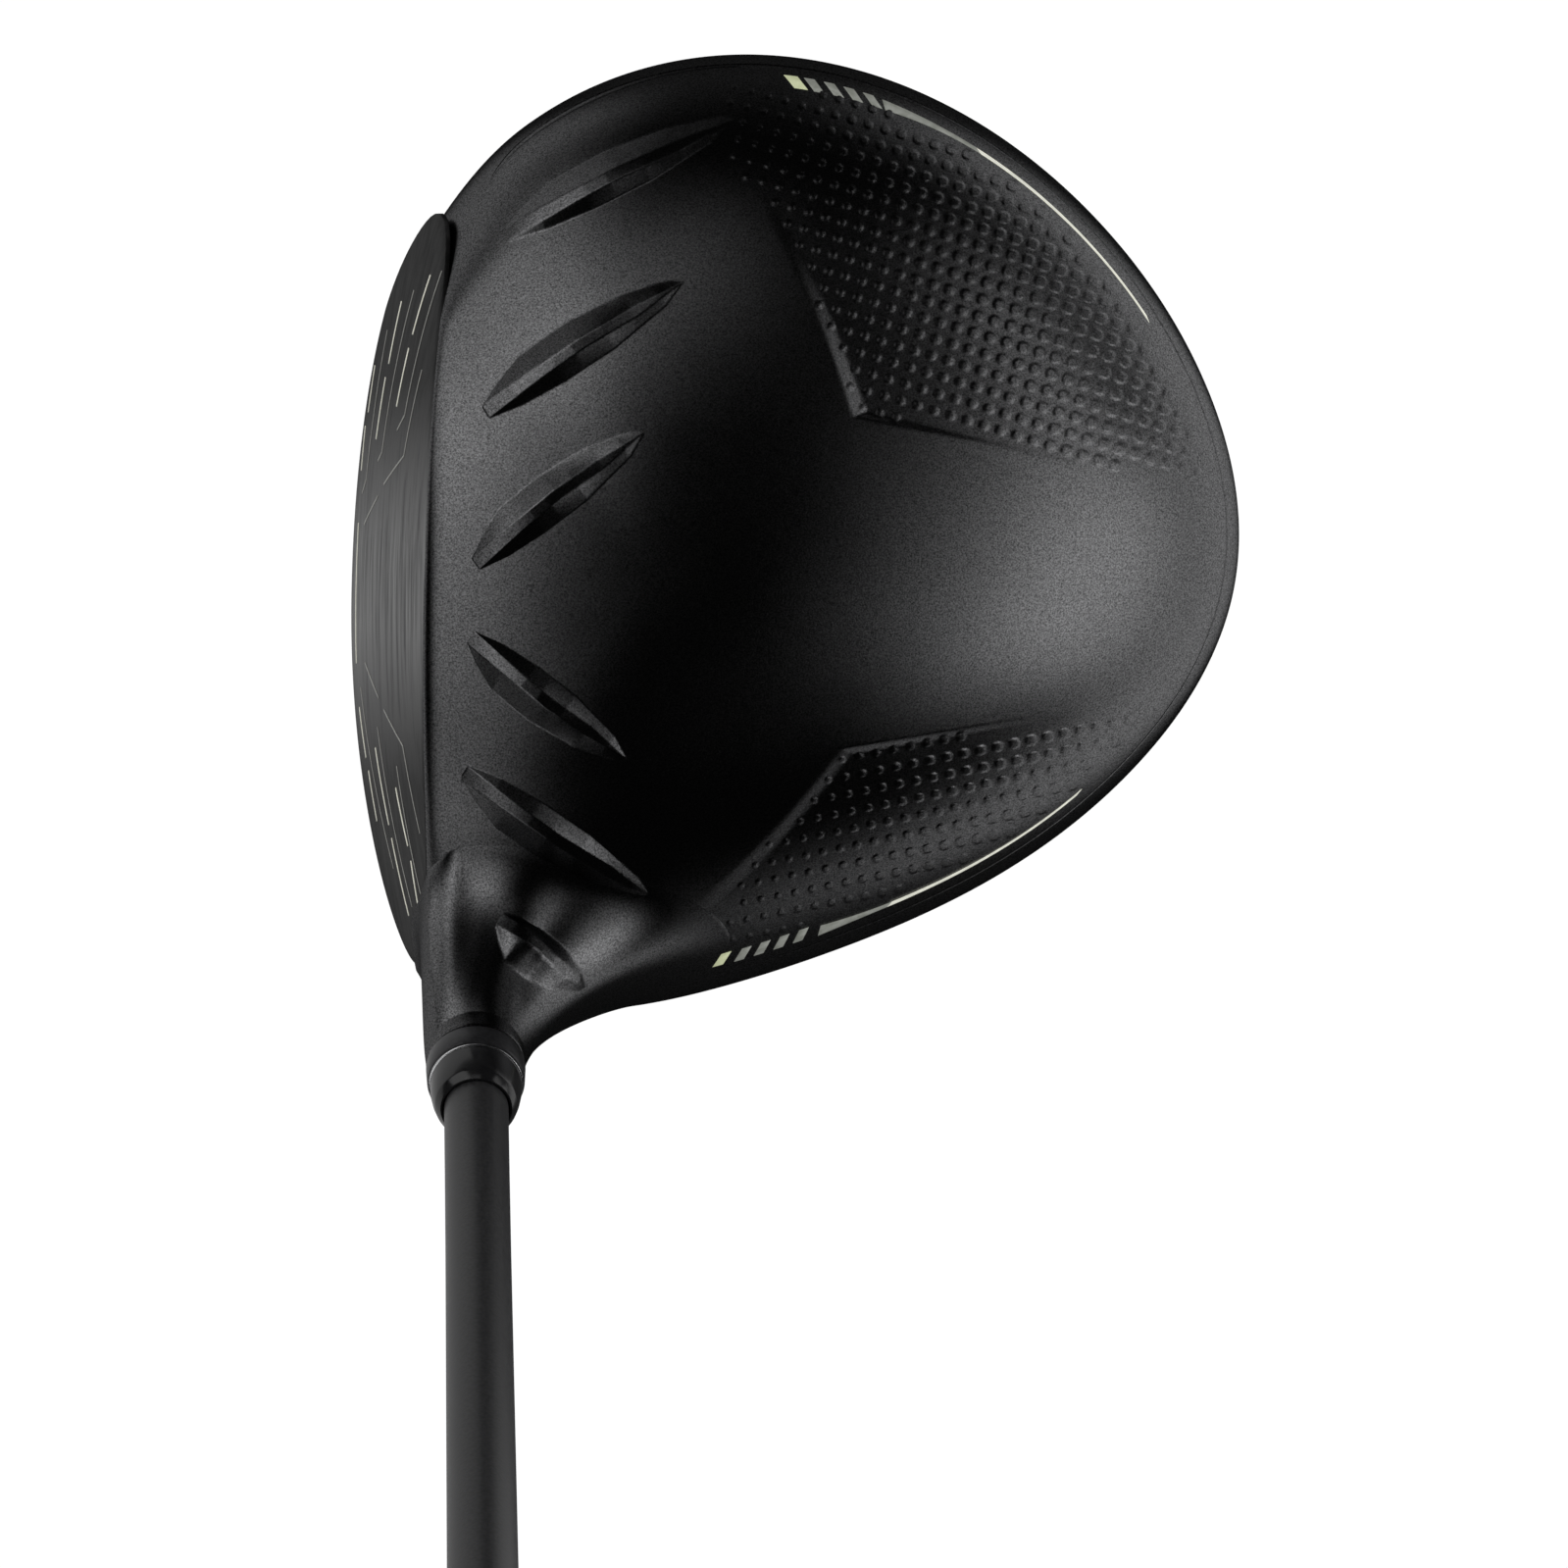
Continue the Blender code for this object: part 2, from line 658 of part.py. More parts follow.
trim = turned("ferrule_trim_ring", [
    (6.05, 77.1), (6.25, 76.8), (6.3, 76.2), (6.15, 75.9), (4.6, 75.9), (4.6, 77.1)],
    BRIGHT_STEEL, shaft_axis, 28)
ferrule = turned("ferrule", [
    (4.75, 85.6), (4.95, 84.6), (5.7, 81.0), (6.0, 78.8), (6.05, 77.4), (4.6, 77.4),
    (4.6, 85.6)], FERRULE, shaft_axis, 28)


def shaft_radius(s):
    t = max(0.0, (s - TIP_PARALLEL) / (CLUB_LENGTH - TIP_PARALLEL))
    return TIP_R + (BUTT_R - TIP_R) * t


BUTT = CLUB_LENGTH - 4.0
stations = [BUTT, 900.0, 650.0, 400.0, 200.0, TIP_PARALLEL, SHAFT_TIP]
shaft_profile = [(shaft_radius(s), s) for s in stations]
shaft_profile += [(shaft_radius(s) - 1.0, s) for s in reversed(stations)]
shaft = turned("shaft", shaft_profile, SHAFT, shaft_axis, 28)
plug = turned("shaft_tip_plug", [
    (0, 58.0), (2.5, 58.0), (2.9, 57.4), (2.9, 43.0), (0, 43.0)], PLUG, shaft_axis, 20)

GRIP_FOOT = CLUB_LENGTH - GRIP_LENGTH
tape_stations = [BUTT - 1.0, GRIP_FOOT + 3.0]
tape_profile = [(shaft_radius(s) + 0.8, s) for s in tape_stations]
tape_profile += [(shaft_radius(s) + 0.3, s) for s in reversed(tape_stations)]
tape = turned("grip_tape", tape_profile, TAPE, shaft_axis, 24)


def grip_radius(s):
    t = (s - GRIP_FOOT) / GRIP_LENGTH
    return 9.6 + 3.4 * t**1.6


grip_stations = [CLUB_LENGTH - 3.2, CLUB_LENGTH - 70.0, CLUB_LENGTH - 150.0, GRIP_FOOT]
grip_profile = [(grip_radius(s), s) for s in grip_stations]
grip_profile[-1] = (8.6, GRIP_FOOT)
grip_profile.insert(-1, (9.6, GRIP_FOOT + 3.0))
grip_profile += [(shaft_radius(s) + 1.1, s) for s in (GRIP_FOOT, CLUB_LENGTH - 3.2)]
grip = turned("grip", grip_profile, GRIP, shaft_axis, 32)
CAP = CLUB_LENGTH
cap = turned("grip_cap", [
    (13.4, CAP), (14.3, CAP - 0.9), (14.3, CAP - 2.0), (13.4, CAP - 2.9), (1.5, CAP - 2.9),
    (1.5, CAP)], GRIP, shaft_axis, 32)


# ---------------------------------------------------------------- rear weight

FLOOR = -POCKET_DEPTH
rail = prism("weight_rail", box_outline(POCKET_SIDE - GAP, POCKET_HALF - GAP, 1.5),
             FLOOR + GAP, FLOOR + 3.3, BRIGHT_STEEL, weight_frame)
slot = as_cutter(prism("rail_slot", box_outline(2.4, WEIGHT_TRAVEL + 2.6), FLOOR - 1.0,
                       FLOOR + 5.0, None, weight_frame, cutters))
channel = as_cutter(prism("rail_channel", box_outline(4.4, WEIGHT_TRAVEL + 4.6),
                          FLOOR - 1.0, FLOOR + 2.1, None, weight_frame, cutters))
boolean(rail, slot, "DIFFERENCE")
boolean(rail, channel, "DIFFERENCE")

nut = turned("weight_nut", [
    (4.0, FLOOR + 1.75), (4.0, FLOOR + 0.6), (2.3, FLOOR + 0.6), (2.3, FLOOR + 1.75)],
    DARK_STEEL, weight_frame, 24)
gasket = prism("weight_gasket", box_outline(POCKET_SIDE - 1.0, WEIGHT_HALF - 0.4, 1.5),
               FLOOR + 3.6, FLOOR + 4.2, GASKET, weight_frame)
weight = prism("rear_weight", box_outline(POCKET_SIDE - 0.8, WEIGHT_HALF, 1.8),
               FLOOR + 4.5, FLOOR + 9.7, TUNGSTEN, weight_frame)
hole = as_cutter(turned("screw_hole", [
    (0, 4.0), (4.1, 4.0), (4.1, FLOOR + 7.2), (2.3, FLOOR + 7.2), (2.3, FLOOR - 2.0),
    (0, FLOOR - 2.0)], None, weight_frame, 24, cutters))
boolean(weight, hole, "DIFFERENCE")
boolean(gasket, hole, "DIFFERENCE")
screw = turned("weight_screw", [
    (0, FLOOR + 9.6), (3.4, FLOOR + 9.6), (3.7, FLOOR + 9.3), (3.7, FLOOR + 7.5),
    (2.0, FLOOR + 7.5), (2.0, FLOOR + 0.8), (0, FLOOR + 0.8)], BOLT_STEEL, weight_frame, 24)
drive = as_cutter(prism("screw_star", star_outline(2.0, 1.4), FLOOR + 8.0, FLOOR + 12.0,
                        None, weight_frame, cutters))
boolean(screw, drive, "DIFFERENCE")
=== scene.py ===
"""Golf driver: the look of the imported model, with a studio, a camera and materials."""

import math

import bmesh
import bpy
import numpy as np
from mathutils import Matrix, Vector


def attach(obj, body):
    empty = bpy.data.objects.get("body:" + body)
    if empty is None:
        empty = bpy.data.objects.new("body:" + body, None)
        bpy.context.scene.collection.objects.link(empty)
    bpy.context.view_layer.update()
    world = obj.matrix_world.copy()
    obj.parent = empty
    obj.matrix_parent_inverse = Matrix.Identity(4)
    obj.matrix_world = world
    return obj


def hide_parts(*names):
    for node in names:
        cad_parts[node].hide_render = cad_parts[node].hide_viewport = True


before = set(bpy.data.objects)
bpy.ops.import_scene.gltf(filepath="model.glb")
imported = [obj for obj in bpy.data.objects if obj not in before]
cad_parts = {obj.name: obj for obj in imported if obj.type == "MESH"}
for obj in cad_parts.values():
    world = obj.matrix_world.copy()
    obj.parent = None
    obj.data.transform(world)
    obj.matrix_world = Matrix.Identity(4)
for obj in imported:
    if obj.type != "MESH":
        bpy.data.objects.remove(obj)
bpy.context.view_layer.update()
MM = 0.001

# Head form, in millimetres. The outline's radii differ from the CAD's by up to 2 mm.
OUTLINE_STEP = 20.0          # degrees between the radii below, from the rear
OUTLINE = [79.9, 80.7, 78.6, 76.4, 72.7, 65.9, 58.2, 56.8, 57.0, 57.0,
           57.4, 58.6, 60.4, 58.2, 55.2, 55.9, 61.5, 70.9]
CROWN_TOP = 62.0
CROWN_POWER = 2.2
SOLE_POWER = 2.8
PAD_PART = 0.13              # radius of the rest pad as a part of the outline
FACE_RADIUS = 305.0          # bulge and roll
FACE_LOFT = math.radians(10.5)
FACE_MIDDLE = (-36.3, -6.6, 31.0)
FACE_HUB = (-3.0, 31.0)      # heel-toe place and height that the face's rings start from
HEEL_FALL = 0.0009           # how fast the face falls back towards the heel
TOE_TWIST = 0.11             # how fast it falls back at the upper toe
BODY_FRONT = 0.35            # depth of the body's front behind the face's surface
SEAM_IN = 1.9                # from the rim to the edge of the crown panel
SEAM_FRONT = -26.4           # foremost place of the crown panel's edge
SEAM_NECK = (-23.0, -58.0, 18.0)   # centre and radius of its round corner at the neck

# Shaft axis and hosel, in millimetres along the axis from the ground
LIE = math.radians(59.0)
AXIS_FOOT = (-23.0, -27.0)
HOSEL_R = 6.6
HOSEL_TOP = 72.0
BORE_R = 5.6
SEAT_BOTTOM, SEAT_TOP = 19.0, 23.0
WELL_R = 4.8
SEAT_HOLE_R = 2.8
SHAFT_TIP = 41.6
TIP_R = 4.25
TIP_PARALLEL = 110.0
SHAFT_FLARE = 3.35           # growth of the shaft's radius from its tip to its butt
SHAFT_WALL = 1.0
CLUB_LENGTH = 1162.0
GRIP_LENGTH = 270.0

# Sole: each recess has its middle, its outward normal and its half sizes
WEIGHT_NORMAL = Vector((0.43989, 0.0, -0.898052)).normalized()
WEIGHT_AT = Vector((62.0, 7.0, 8.342))
POCKET_HALVES = (7.5, 20.0)
POCKET_DEPTH = 12.5
BADGE_NORMAL = Vector((0.103463, 0.000669, -0.994633)).normalized()
BADGE_AT = Vector((34.0, 3.0, 0.869))
BADGE_HALVES = (5.5, 10.0)
BADGE_DEPTH = 0.85


# ---------------------------------------------------------------- head surfaces

def periodic_slopes(values):
    """Slopes of the smooth closed curve through evenly spaced values."""
    n = len(values)
    system = 4.0 * np.eye(n) + np.roll(np.eye(n), 1, 0) + np.roll(np.eye(n), -1, 0)
    right = [3.0 * (values[(i + 1) % n] - values[i - 1]) for i in range(n)]
    return np.linalg.solve(system, right)


RADII = np.array(OUTLINE)
SLOPES = periodic_slopes(OUTLINE)


def outline_radius(angle):
    """Radius of the head's widest line, with the angle in radians from the rear."""
    place = np.degrees(angle) / OUTLINE_STEP
    i = np.floor(place).astype(int)
    t = place - i
    here, after = i % len(OUTLINE), (i + 1) % len(OUTLINE)
    a, b = RADII[here], RADII[after]
    p, q = SLOPES[here], SLOPES[after]
    return (a * (2 * t**3 - 3 * t**2 + 1) + p * (t**3 - 2 * t**2 + t)
            + b * (3 * t**2 - 2 * t**3) + q * (t**3 - t**2))


def rim_height(angle):
    """Height of the head's widest line: higher at the toe and at the face."""
    return 28.5 + 2.5 * np.sin(angle) - 3.5 * np.cos(angle)


def fullness(angle):
    """Power that rounds the crown and sole into the rim: lower is fuller, as in front."""
    return 0.62 + 0.10 * np.cos(angle)


def crown_z(r, angle):
    part = np.minimum(r / outline_radius(angle), 1.0)
    rim = rim_height(angle)
    return rim + (CROWN_TOP - rim) * (1 - part**CROWN_POWER) ** fullness(angle)


def sole_z(r, angle):
    part = np.minimum(r / outline_radius(angle), 1.0)
    part = np.maximum(0.0, (part - PAD_PART) / (1 - PAD_PART))
    return rim_height(angle) * (1 - (1 - part**SOLE_POWER) ** fullness(angle))


def face_x(y, z, depth=0.0):
    """The face's surface, or one behind it: a sphere that falls back at its ends."""
    cx = FACE_MIDDLE[0] + FACE_RADIUS * math.cos(FACE_LOFT)
    cz = FACE_MIDDLE[2] - FACE_RADIUS * math.sin(FACE_LOFT)
    radius = FACE_RADIUS - depth
    heel = HEEL_FALL * np.maximum(-y, 0.0) ** 2
    toe = np.maximum(y, 0.0)
    twist = TOE_TWIST * np.maximum(z - 18.0, 0.0) * (toe / 50.0) ** 3
    return cx + heel + twist - np.sqrt(radius**2 - (y - FACE_MIDDLE[1])**2 - (z - cz)**2)


def soft_max(a, b, k):
    """The larger of two values, rounded over where they cross."""
    h = np.maximum(k - np.abs(a - b), 0.0) / k
    return np.maximum(a, b) + h * h * k * 0.25


def rounded_front(x, y, z):
    """Place on the head with the edge between its crown or sole and its face rounded."""
    ends = np.clip((np.abs(y - FACE_HUB[0]) - 38.0) / 12.0, 0, 1)
    return np.stack([soft_max(x, face_x(y, z, BODY_FRONT), 2.2 + 7.0 * ends), y, z], -1)


def seam_radius(angle):
    """Edge of the crown panel: inside the rim, behind the face, clear of the neck."""
    limits = [outline_radius(angle) - SEAM_IN]
    c = np.cos(angle)
    limits.append(np.where(c < -0.05, SEAM_FRONT / np.minimum(c, -0.05), 500.0))
    nx, ny, nr = SEAM_NECK
    along = nx * np.cos(angle) + ny * np.sin(angle)
    off = nx**2 + ny**2 - along**2
    hit = (along > 0) & (off < nr**2)
    near = along - np.sqrt(np.maximum(nr**2 - off, 0.0))
    limits.append(np.where(hit, near, 500.0))
    return sum(v**-12.0 for v in limits) ** (-1 / 12.0)


def groove(angle):
    """How open the joint round the crown panel is: widest at the toe, closed in front."""
    edge = outline_radius(angle) - SEAM_IN - seam_radius(angle)
    on_rim = np.clip(1 - edge / 0.6, 0, 1)
    return on_rim * (0.12 + 0.88 * np.maximum(0.0, np.cos(angle - math.radians(105))) ** 2)


# ---------------------------------------------------------------- crown relief

# Wedges: front tip, rear tip, and the side that the steep wall faces
RIDGES = [
    ((-19.4, 47.3), (12.0, 62.3), -1),
    ((-22.1, 23.4), (4.7, 40.1), -1),
    ((-23.5, 3.2), (-0.7, 19.9), -1),
    ((-24.1, -7.9), (-2.9, -23.4), 1),
    ((-24.9, -25.8), (1.2, -42.4), 1),
    ((-20.2, -45.4), (-8.2, -53.8), 1),
]


def ridge_height(x, y, front_tip, rear_tip, wall):
    """Wedge in plan: a ramp on one side, a narrow top and a steep wall on the other."""
    run = Vector(rear_tip) - Vector(front_tip)
    length = run.length
    ex, ey = run / length
    dx, dy = x - front_tip[0], y - front_tip[1]
    t = np.clip((dx * ex + dy * ey) / length, 0.0, 1.0)
    c = (dx * -ey + dy * ex) * -wall
    top = np.interp(t, [0, 0.1, 0.24, 0.48, 0.74, 0.95, 1], [0, 1.6, 3.2, 3.6, 2.9, 1.2, 0])
    crest = np.interp(t, [0, 0.3, 0.5, 0.75, 1], [0.2, 0.6, 0.9, 0.7, 0])
    brow = np.interp(t, [0, 0.3, 0.5, 0.75, 1], [-1.7, -0.9, -0.6, -0.7, 0])
    foot = np.interp(t, [0, 0.15, 0.35, 0.6, 0.88, 1], [-1.8, -2.6, -2.9, -2.7, -1.5, 0])
    steep = np.interp(t, [0, 0.45, 0.75, 1], [0.85, 0.85, 0.45, 0.4])
    tall = steep * np.maximum(brow - foot, 0.0)
    ramp = 1.12 * np.clip((top - c) / np.maximum(top - crest, 0.05), 0, 1)
    over = 1.12 - 0.14 * np.clip((crest - c) / np.maximum(crest - brow, 0.05), 0, 1)
    drop = 0.98 * np.clip((c - foot) / np.maximum(brow - foot, 0.05), 0, 1)
    h = tall * np.where(c > crest, ramp, np.where(c > brow, over, drop))
    inside = (t > 0.0) & (t < 1.0) & (c < top) & (c > foot)
    return np.where(inside, h, 0.0)


# Sunk rear panels: corner, end of the inner crease, end of the long crease, and side
PANELS = [
    ((26.9, 21.9), (16.3, 47.7), (61.8, 14.8), 1),
    ((25.2, -21.9), (13.8, -34.5), (60.4, -16.0), -1),
]
DOT_TURNS = [math.radians(-16), math.radians(11)]
DOT_PITCH = 2.33
DOT_HEIGHT = 0.11
DOT_EDGE = 0.1               # width of a dot's sloping edge, in pitches
DOT_POWER = 2.6              # 2 makes the dots round, and more makes them square


def panel_fields(x, y, corner, inner, outer, side):
    """Distances into the panel from its two creases and from its corner."""
    a = (Vector(inner) - Vector(corner)).normalized()
    b = (Vector(outer) - Vector(corner)).normalized()
    dx, dy = x - corner[0], y - corner[1]
    bow = 0.9 * np.sin(np.clip(np.hypot(dx, dy) / 28.0, 0, 1) * math.pi)
    from_inner = (dx * a.y - dy * a.x) * side - bow * 0.8
    from_long = (dy * b.x - dx * b.y) * side
    return from_inner, from_long, np.hypot(dx, dy)


def panel_drop(x, y, corner, inner, outer, side):
    """Depth of a panel: a short wall at its creases, fading away from its corner."""
    from_inner, from_long, away = panel_fields(x, y, corner, inner, outer, side)
    wall = np.clip(np.minimum(from_inner / 2.4, from_long / 1.4), 0, 1)
    wall = wall * wall * (3 - 2 * wall)
    return -0.72 * wall * np.clip(1 - away / 33.0, 0, 1)


def panel_dots(x, y, corner, inner, outer, side, turn):
    """Raised dots on a turned grid, growing from the creases towards the rim."""
    u = (x * math.cos(turn) + y * math.sin(turn)) / DOT_PITCH
    v = (-x * math.sin(turn) + y * math.cos(turn)) / DOT_PITCH
    du, dv = u - np.round(u), v - np.round(v)
    cx = DOT_PITCH * (np.round(u) * math.cos(turn) - np.round(v) * math.sin(turn))
    cy = DOT_PITCH * (np.round(u) * math.sin(turn) + np.round(v) * math.cos(turn))
    near_inner, near_long, _ = panel_fields(cx, cy, corner, inner, outer, side)
    r, a = np.hypot(cx, cy), np.arctan2(cy, cx)
    margin = outline_radius(a) - r
    grow = np.clip((cx - 14.0) / 38.0, 0, 1) * 0.8 + np.clip(near_long / 26.0, 0, 1) * 0.2
    half = (0.24 + 0.54 * grow) / DOT_PITCH
    start = np.minimum(near_inner + np.clip((near_long - 26) / 14, 0, 1) * 8.0, near_long)
    keep = (start > 1.2) & (margin > 4.6) & (cx > 11.0)
    shape = (np.abs(du) ** DOT_POWER + np.abs(dv) ** DOT_POWER) ** (1 / DOT_POWER)
    bump = np.clip((half - shape) / DOT_EDGE + 0.5, 0, 1)
    return np.where(keep, DOT_HEIGHT * bump * bump * (3 - 2 * bump), 0.0)


def relief(x, y):
    """What stands up from the smooth crown, or is sunk into it."""
    h = np.zeros_like(x)
    for front_tip, rear_tip, wall in RIDGES:
        h = np.maximum(h, ridge_height(x, y, front_tip, rear_tip, wall))
    for place, turn in zip(PANELS, DOT_TURNS):
        h = h + panel_drop(x, y, *place) + panel_dots(x, y, *place, turn)
    return h


# ---------------------------------------------------------------- mesh building

def new_piece(name, points, faces, body, sharp=40.0):
    """Smooth-shaded piece from points in millimetres, riding on a body."""
    mesh = bpy.data.meshes.new(name)
    mesh.from_pydata((np.asarray(points) * MM).tolist(), [], faces)
    mesh.validate()
    obj = bpy.data.objects.new(name, mesh)
    bpy.context.scene.collection.objects.link(obj)
    mesh.shade_smooth()
    mesh.set_sharp_from_angle(angle=math.radians(sharp))
    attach(obj, body)
    return obj


def turn_out(obj):
    """Make a closed mesh's normals point outwards."""
    bm = bmesh.new()
    bm.from_mesh(obj.data)
    bmesh.ops.recalc_face_normals(bm, faces=bm.faces)
    if bm.calc_volume(signed=True) < 0:
        bmesh.ops.reverse_faces(bm, faces=bm.faces)
    bm.to_mesh(obj.data)
    bm.free()


def ring_faces(rings, count):
    """Quads that join each closed ring of points to the next."""
    k = np.arange(rings - 1)[:, None] * count
    i = np.arange(count)[None, :]
    j = (i + 1) % count
    quads = np.stack([k + i, k + j, k + count + j, k + count + i], -1)
    return quads.reshape(-1, 4).tolist()


def axis_point(radius, around, s):
    """Points round the shaft axis at a radius, and at a place along it."""
    x = AXIS_FOOT[0] + radius * np.cos(around)
    y = AXIS_FOOT[1] - s * math.cos(LIE) + radius * np.sin(around) * math.sin(LIE)
    z = s * math.sin(LIE) + radius * np.sin(around) * math.cos(LIE)
    return np.stack(np.broadcast_arrays(x, y, z), -1)


def spun(name, profile, body, sides=96, sharp=35.0):
    """Turned piece on the shaft axis from a closed profile of (radius, place on it)."""
    around = np.linspace(0, 2 * math.pi, sides, endpoint=False)
    rings = [axis_point(max(r, 1e-4), around, s) for r, s in profile]
    rings.append(rings[0])
    obj = new_piece(name, np.concatenate(rings), ring_faces(len(rings), sides), body,
                    sharp)
    bm = bmesh.new()
    bm.from_mesh(obj.data)
    bmesh.ops.remove_doubles(bm, verts=bm.verts, dist=1e-7)
    bmesh.ops.recalc_face_normals(bm, faces=bm.faces)
    bm.to_mesh(obj.data)
    bm.free()
    obj.data.shade_smooth()
    obj.data.set_sharp_from_angle(angle=math.radians(sharp))
    return obj


# ---------------------------------------------------------------- crown piece

def make_crown():
    """Crown panel on a square grid pressed into a circle, with a skirt at its edge."""
    n = 660
    line = np.linspace(-1, 1, n)
    u, v = np.meshgrid(line, line)
    px = u * np.sqrt(1 - v * v / 2)
    py = v * np.sqrt(1 - u * u / 2)
    angle = np.arctan2(py, px)
    r = np.hypot(px, py) * (seam_radius(angle) - 0.1 * groove(angle))
    x, y = r * np.cos(angle), r * np.sin(angle)
    top = rounded_front(x, y, crown_z(r, angle))
    top[..., 2] += relief(x, y)
    top = top.reshape(-1, 3)
    grid = np.arange(n * n).reshape(n, n)
    faces = np.stack([grid[:-1, :-1], grid[:-1, 1:], grid[1:, 1:], grid[1:, :-1]], -1)
    faces = faces.reshape(-1, 4).tolist()
    border = np.concatenate([grid[0, :-1], grid[:-1, -1], grid[-1, :0:-1], grid[:0:-1, 0]])
    low = top[border].copy()
    skirt = 0.8
    low[:, 2] -= skirt
    start = n * n
    for i in range(len(border)):
        j = (i + 1) % len(border)
        faces.append([int(border[i]), start + i, start + j, int(border[j])])
    return new_piece("crown_panel", np.concatenate([top, low]), faces, "head",
                     50.0)


# ---------------------------------------------------------------- body piece

def make_body():
    """Closed body in rings: a ledge under the crown panel, its groove, the rim, the sole."""
    count = 720
    angle = np.linspace(0, 2 * math.pi, count, endpoint=False)
    full, seam, rim = outline_radius(angle), seam_radius(angle), rim_height(angle)
    rings = []

    def add(r, z):
        rings.append(rounded_front(r * np.cos(angle), r * np.sin(angle), z))

    for part in (0.03, 0.5, 0.9):
        add(seam * part, crown_z(seam * part, angle) - 2.2)
    gap = groove(angle)
    add(seam - 0.5, crown_z(seam - 0.5, angle) - 0.9)
    add(seam - 0.03, crown_z(seam - 0.03, angle) - 0.4 * gap)
    lip = seam + 0.02 + 0.35 * gap
    add(lip, crown_z(lip, angle) - 0.3 * gap)
    seam = seam + 0.03 + 0.5 * gap
    steps = 64
    for k in range(steps):
        r = seam + (full - seam) * np.sin(k / steps * math.pi / 2)
        add(r, crown_z(r, angle))
    add(full, rim)
    steps = 70
    for k in range(steps):
        part = math.cos((k + 0.6) / steps * math.pi / 2)
        r = full * (PAD_PART + (1 - PAD_PART) * part)
        add(r, sole_z(r, angle))
    add(full * PAD_PART, np.zeros(count))
    points = np.concatenate(rings)
    faces = ring_faces(len(rings), count)
    for start, order in ((0, 1), ((len(rings) - 1) * count, -1)):
        centre = points[start:start + count].mean(0)
        points = np.concatenate([points, centre[None]])
        hub = len(points) - 1
        for i in range(count):
            faces.append([hub, start + (i + 1) % count, start + i][::order])
    obj = new_piece("head_body", points, faces, "head", 40.0)
    turn_out(obj)
    return obj


def hidden_cutter(name, points, faces):
    """Closed mesh that cut() takes away from a piece, and then removes."""
    mesh = bpy.data.meshes.new(name)
    mesh.from_pydata((np.asarray(points) * MM).tolist(), [], faces)
    obj = bpy.data.objects.new(name, mesh)
    bpy.context.scene.collection.objects.link(obj)
    turn_out(obj)
    return obj


def cut(obj, cutter):
    """Take a cutter away from a piece and keep the result as its mesh."""
    mod = obj.modifiers.new("cut", "BOOLEAN")
    mod.operation = "DIFFERENCE"
    mod.solver = "EXACT"
    mod.object = cutter
    graph = bpy.context.evaluated_depsgraph_get()
    mesh = bpy.data.meshes.new_from_object(obj.evaluated_get(graph))
    obj.modifiers.clear()
    obj.data = mesh
    bpy.data.objects.remove(cutter)


def capped(rings, count):
    """Points and faces of a closed tube of rings, with flat ends."""
    faces = ring_faces(len(rings), count)
    faces.append(list(range(count)))
    faces.append(list(range((len(rings) - 1) * count, len(rings) * count)))
    return np.concatenate(rings), faces


def well_cutter():
    """Bolt well, the hole in the bolt's seat and the hosel's bore, from below the sole."""
    sides, bore = 72, BORE_R + 0.15
    around = np.linspace(0, 2 * math.pi, sides, endpoint=False)
    rings = [axis_point(r, around, s) for r, s in (
        (WELL_R, -8.0), (WELL_R, SEAT_BOTTOM), (SEAT_HOLE_R, SEAT_BOTTOM),
        (SEAT_HOLE_R, SEAT_TOP), (bore, SEAT_TOP), (bore, 80.0))]
    return hidden_cutter("well", *capped(rings, sides))


def oriented(at, normal, outline, low, high, name):
    """Straight cutter on an outline in the plane across a normal on the sole."""
    across = Vector((0, 1, 0))
    across = (across - normal * across.dot(normal)).normalized()
    along = across.cross(normal)
    rings = []
    for h in (low, high):
        rings.append(np.array([at + along * a + across * b + normal * h for a, b in outline]))
    return hidden_cutter(name, *capped(rings, len(outline)))


def round_box(half_a, half_b, radius, steps=8):
    """Outline of a rectangle with round corners."""
    points = []
    for k, (sa, sb) in enumerate(((1, 1), (-1, 1), (-1, -1), (1, -1))):
        for i in range(steps + 1):
            t = (k + i / steps) * math.pi / 2
            points.append((sa * (half_a - radius) + radius * math.cos(t),
                           sb * (half_b - radius) + radius * math.sin(t)))
    return points


# ---------------------------------------------------------------- neck

def inside_form(p):
    """Whether a point lies inside the head."""
    x, y, z = p
    r, a = math.hypot(x, y), math.atan2(y, x)
    if r >= outline_radius(np.array(a)):
        return False
    if x < face_x(y, z, BODY_FRONT):
        return False
    return float(sole_z(r, np.array(a))) < z < float(crown_z(r, np.array(a)))


def skin_point(core, through):
    """Where the ray from a point inside the head through another leaves the head."""
    way = (through - core).normalized()
    low, high = 0.0, 60.0
    for _ in range(30):
        t = (low + high) / 2
        if inside_form(core + way * t):
            low = t
        else:
            high = t
    return core + way * low


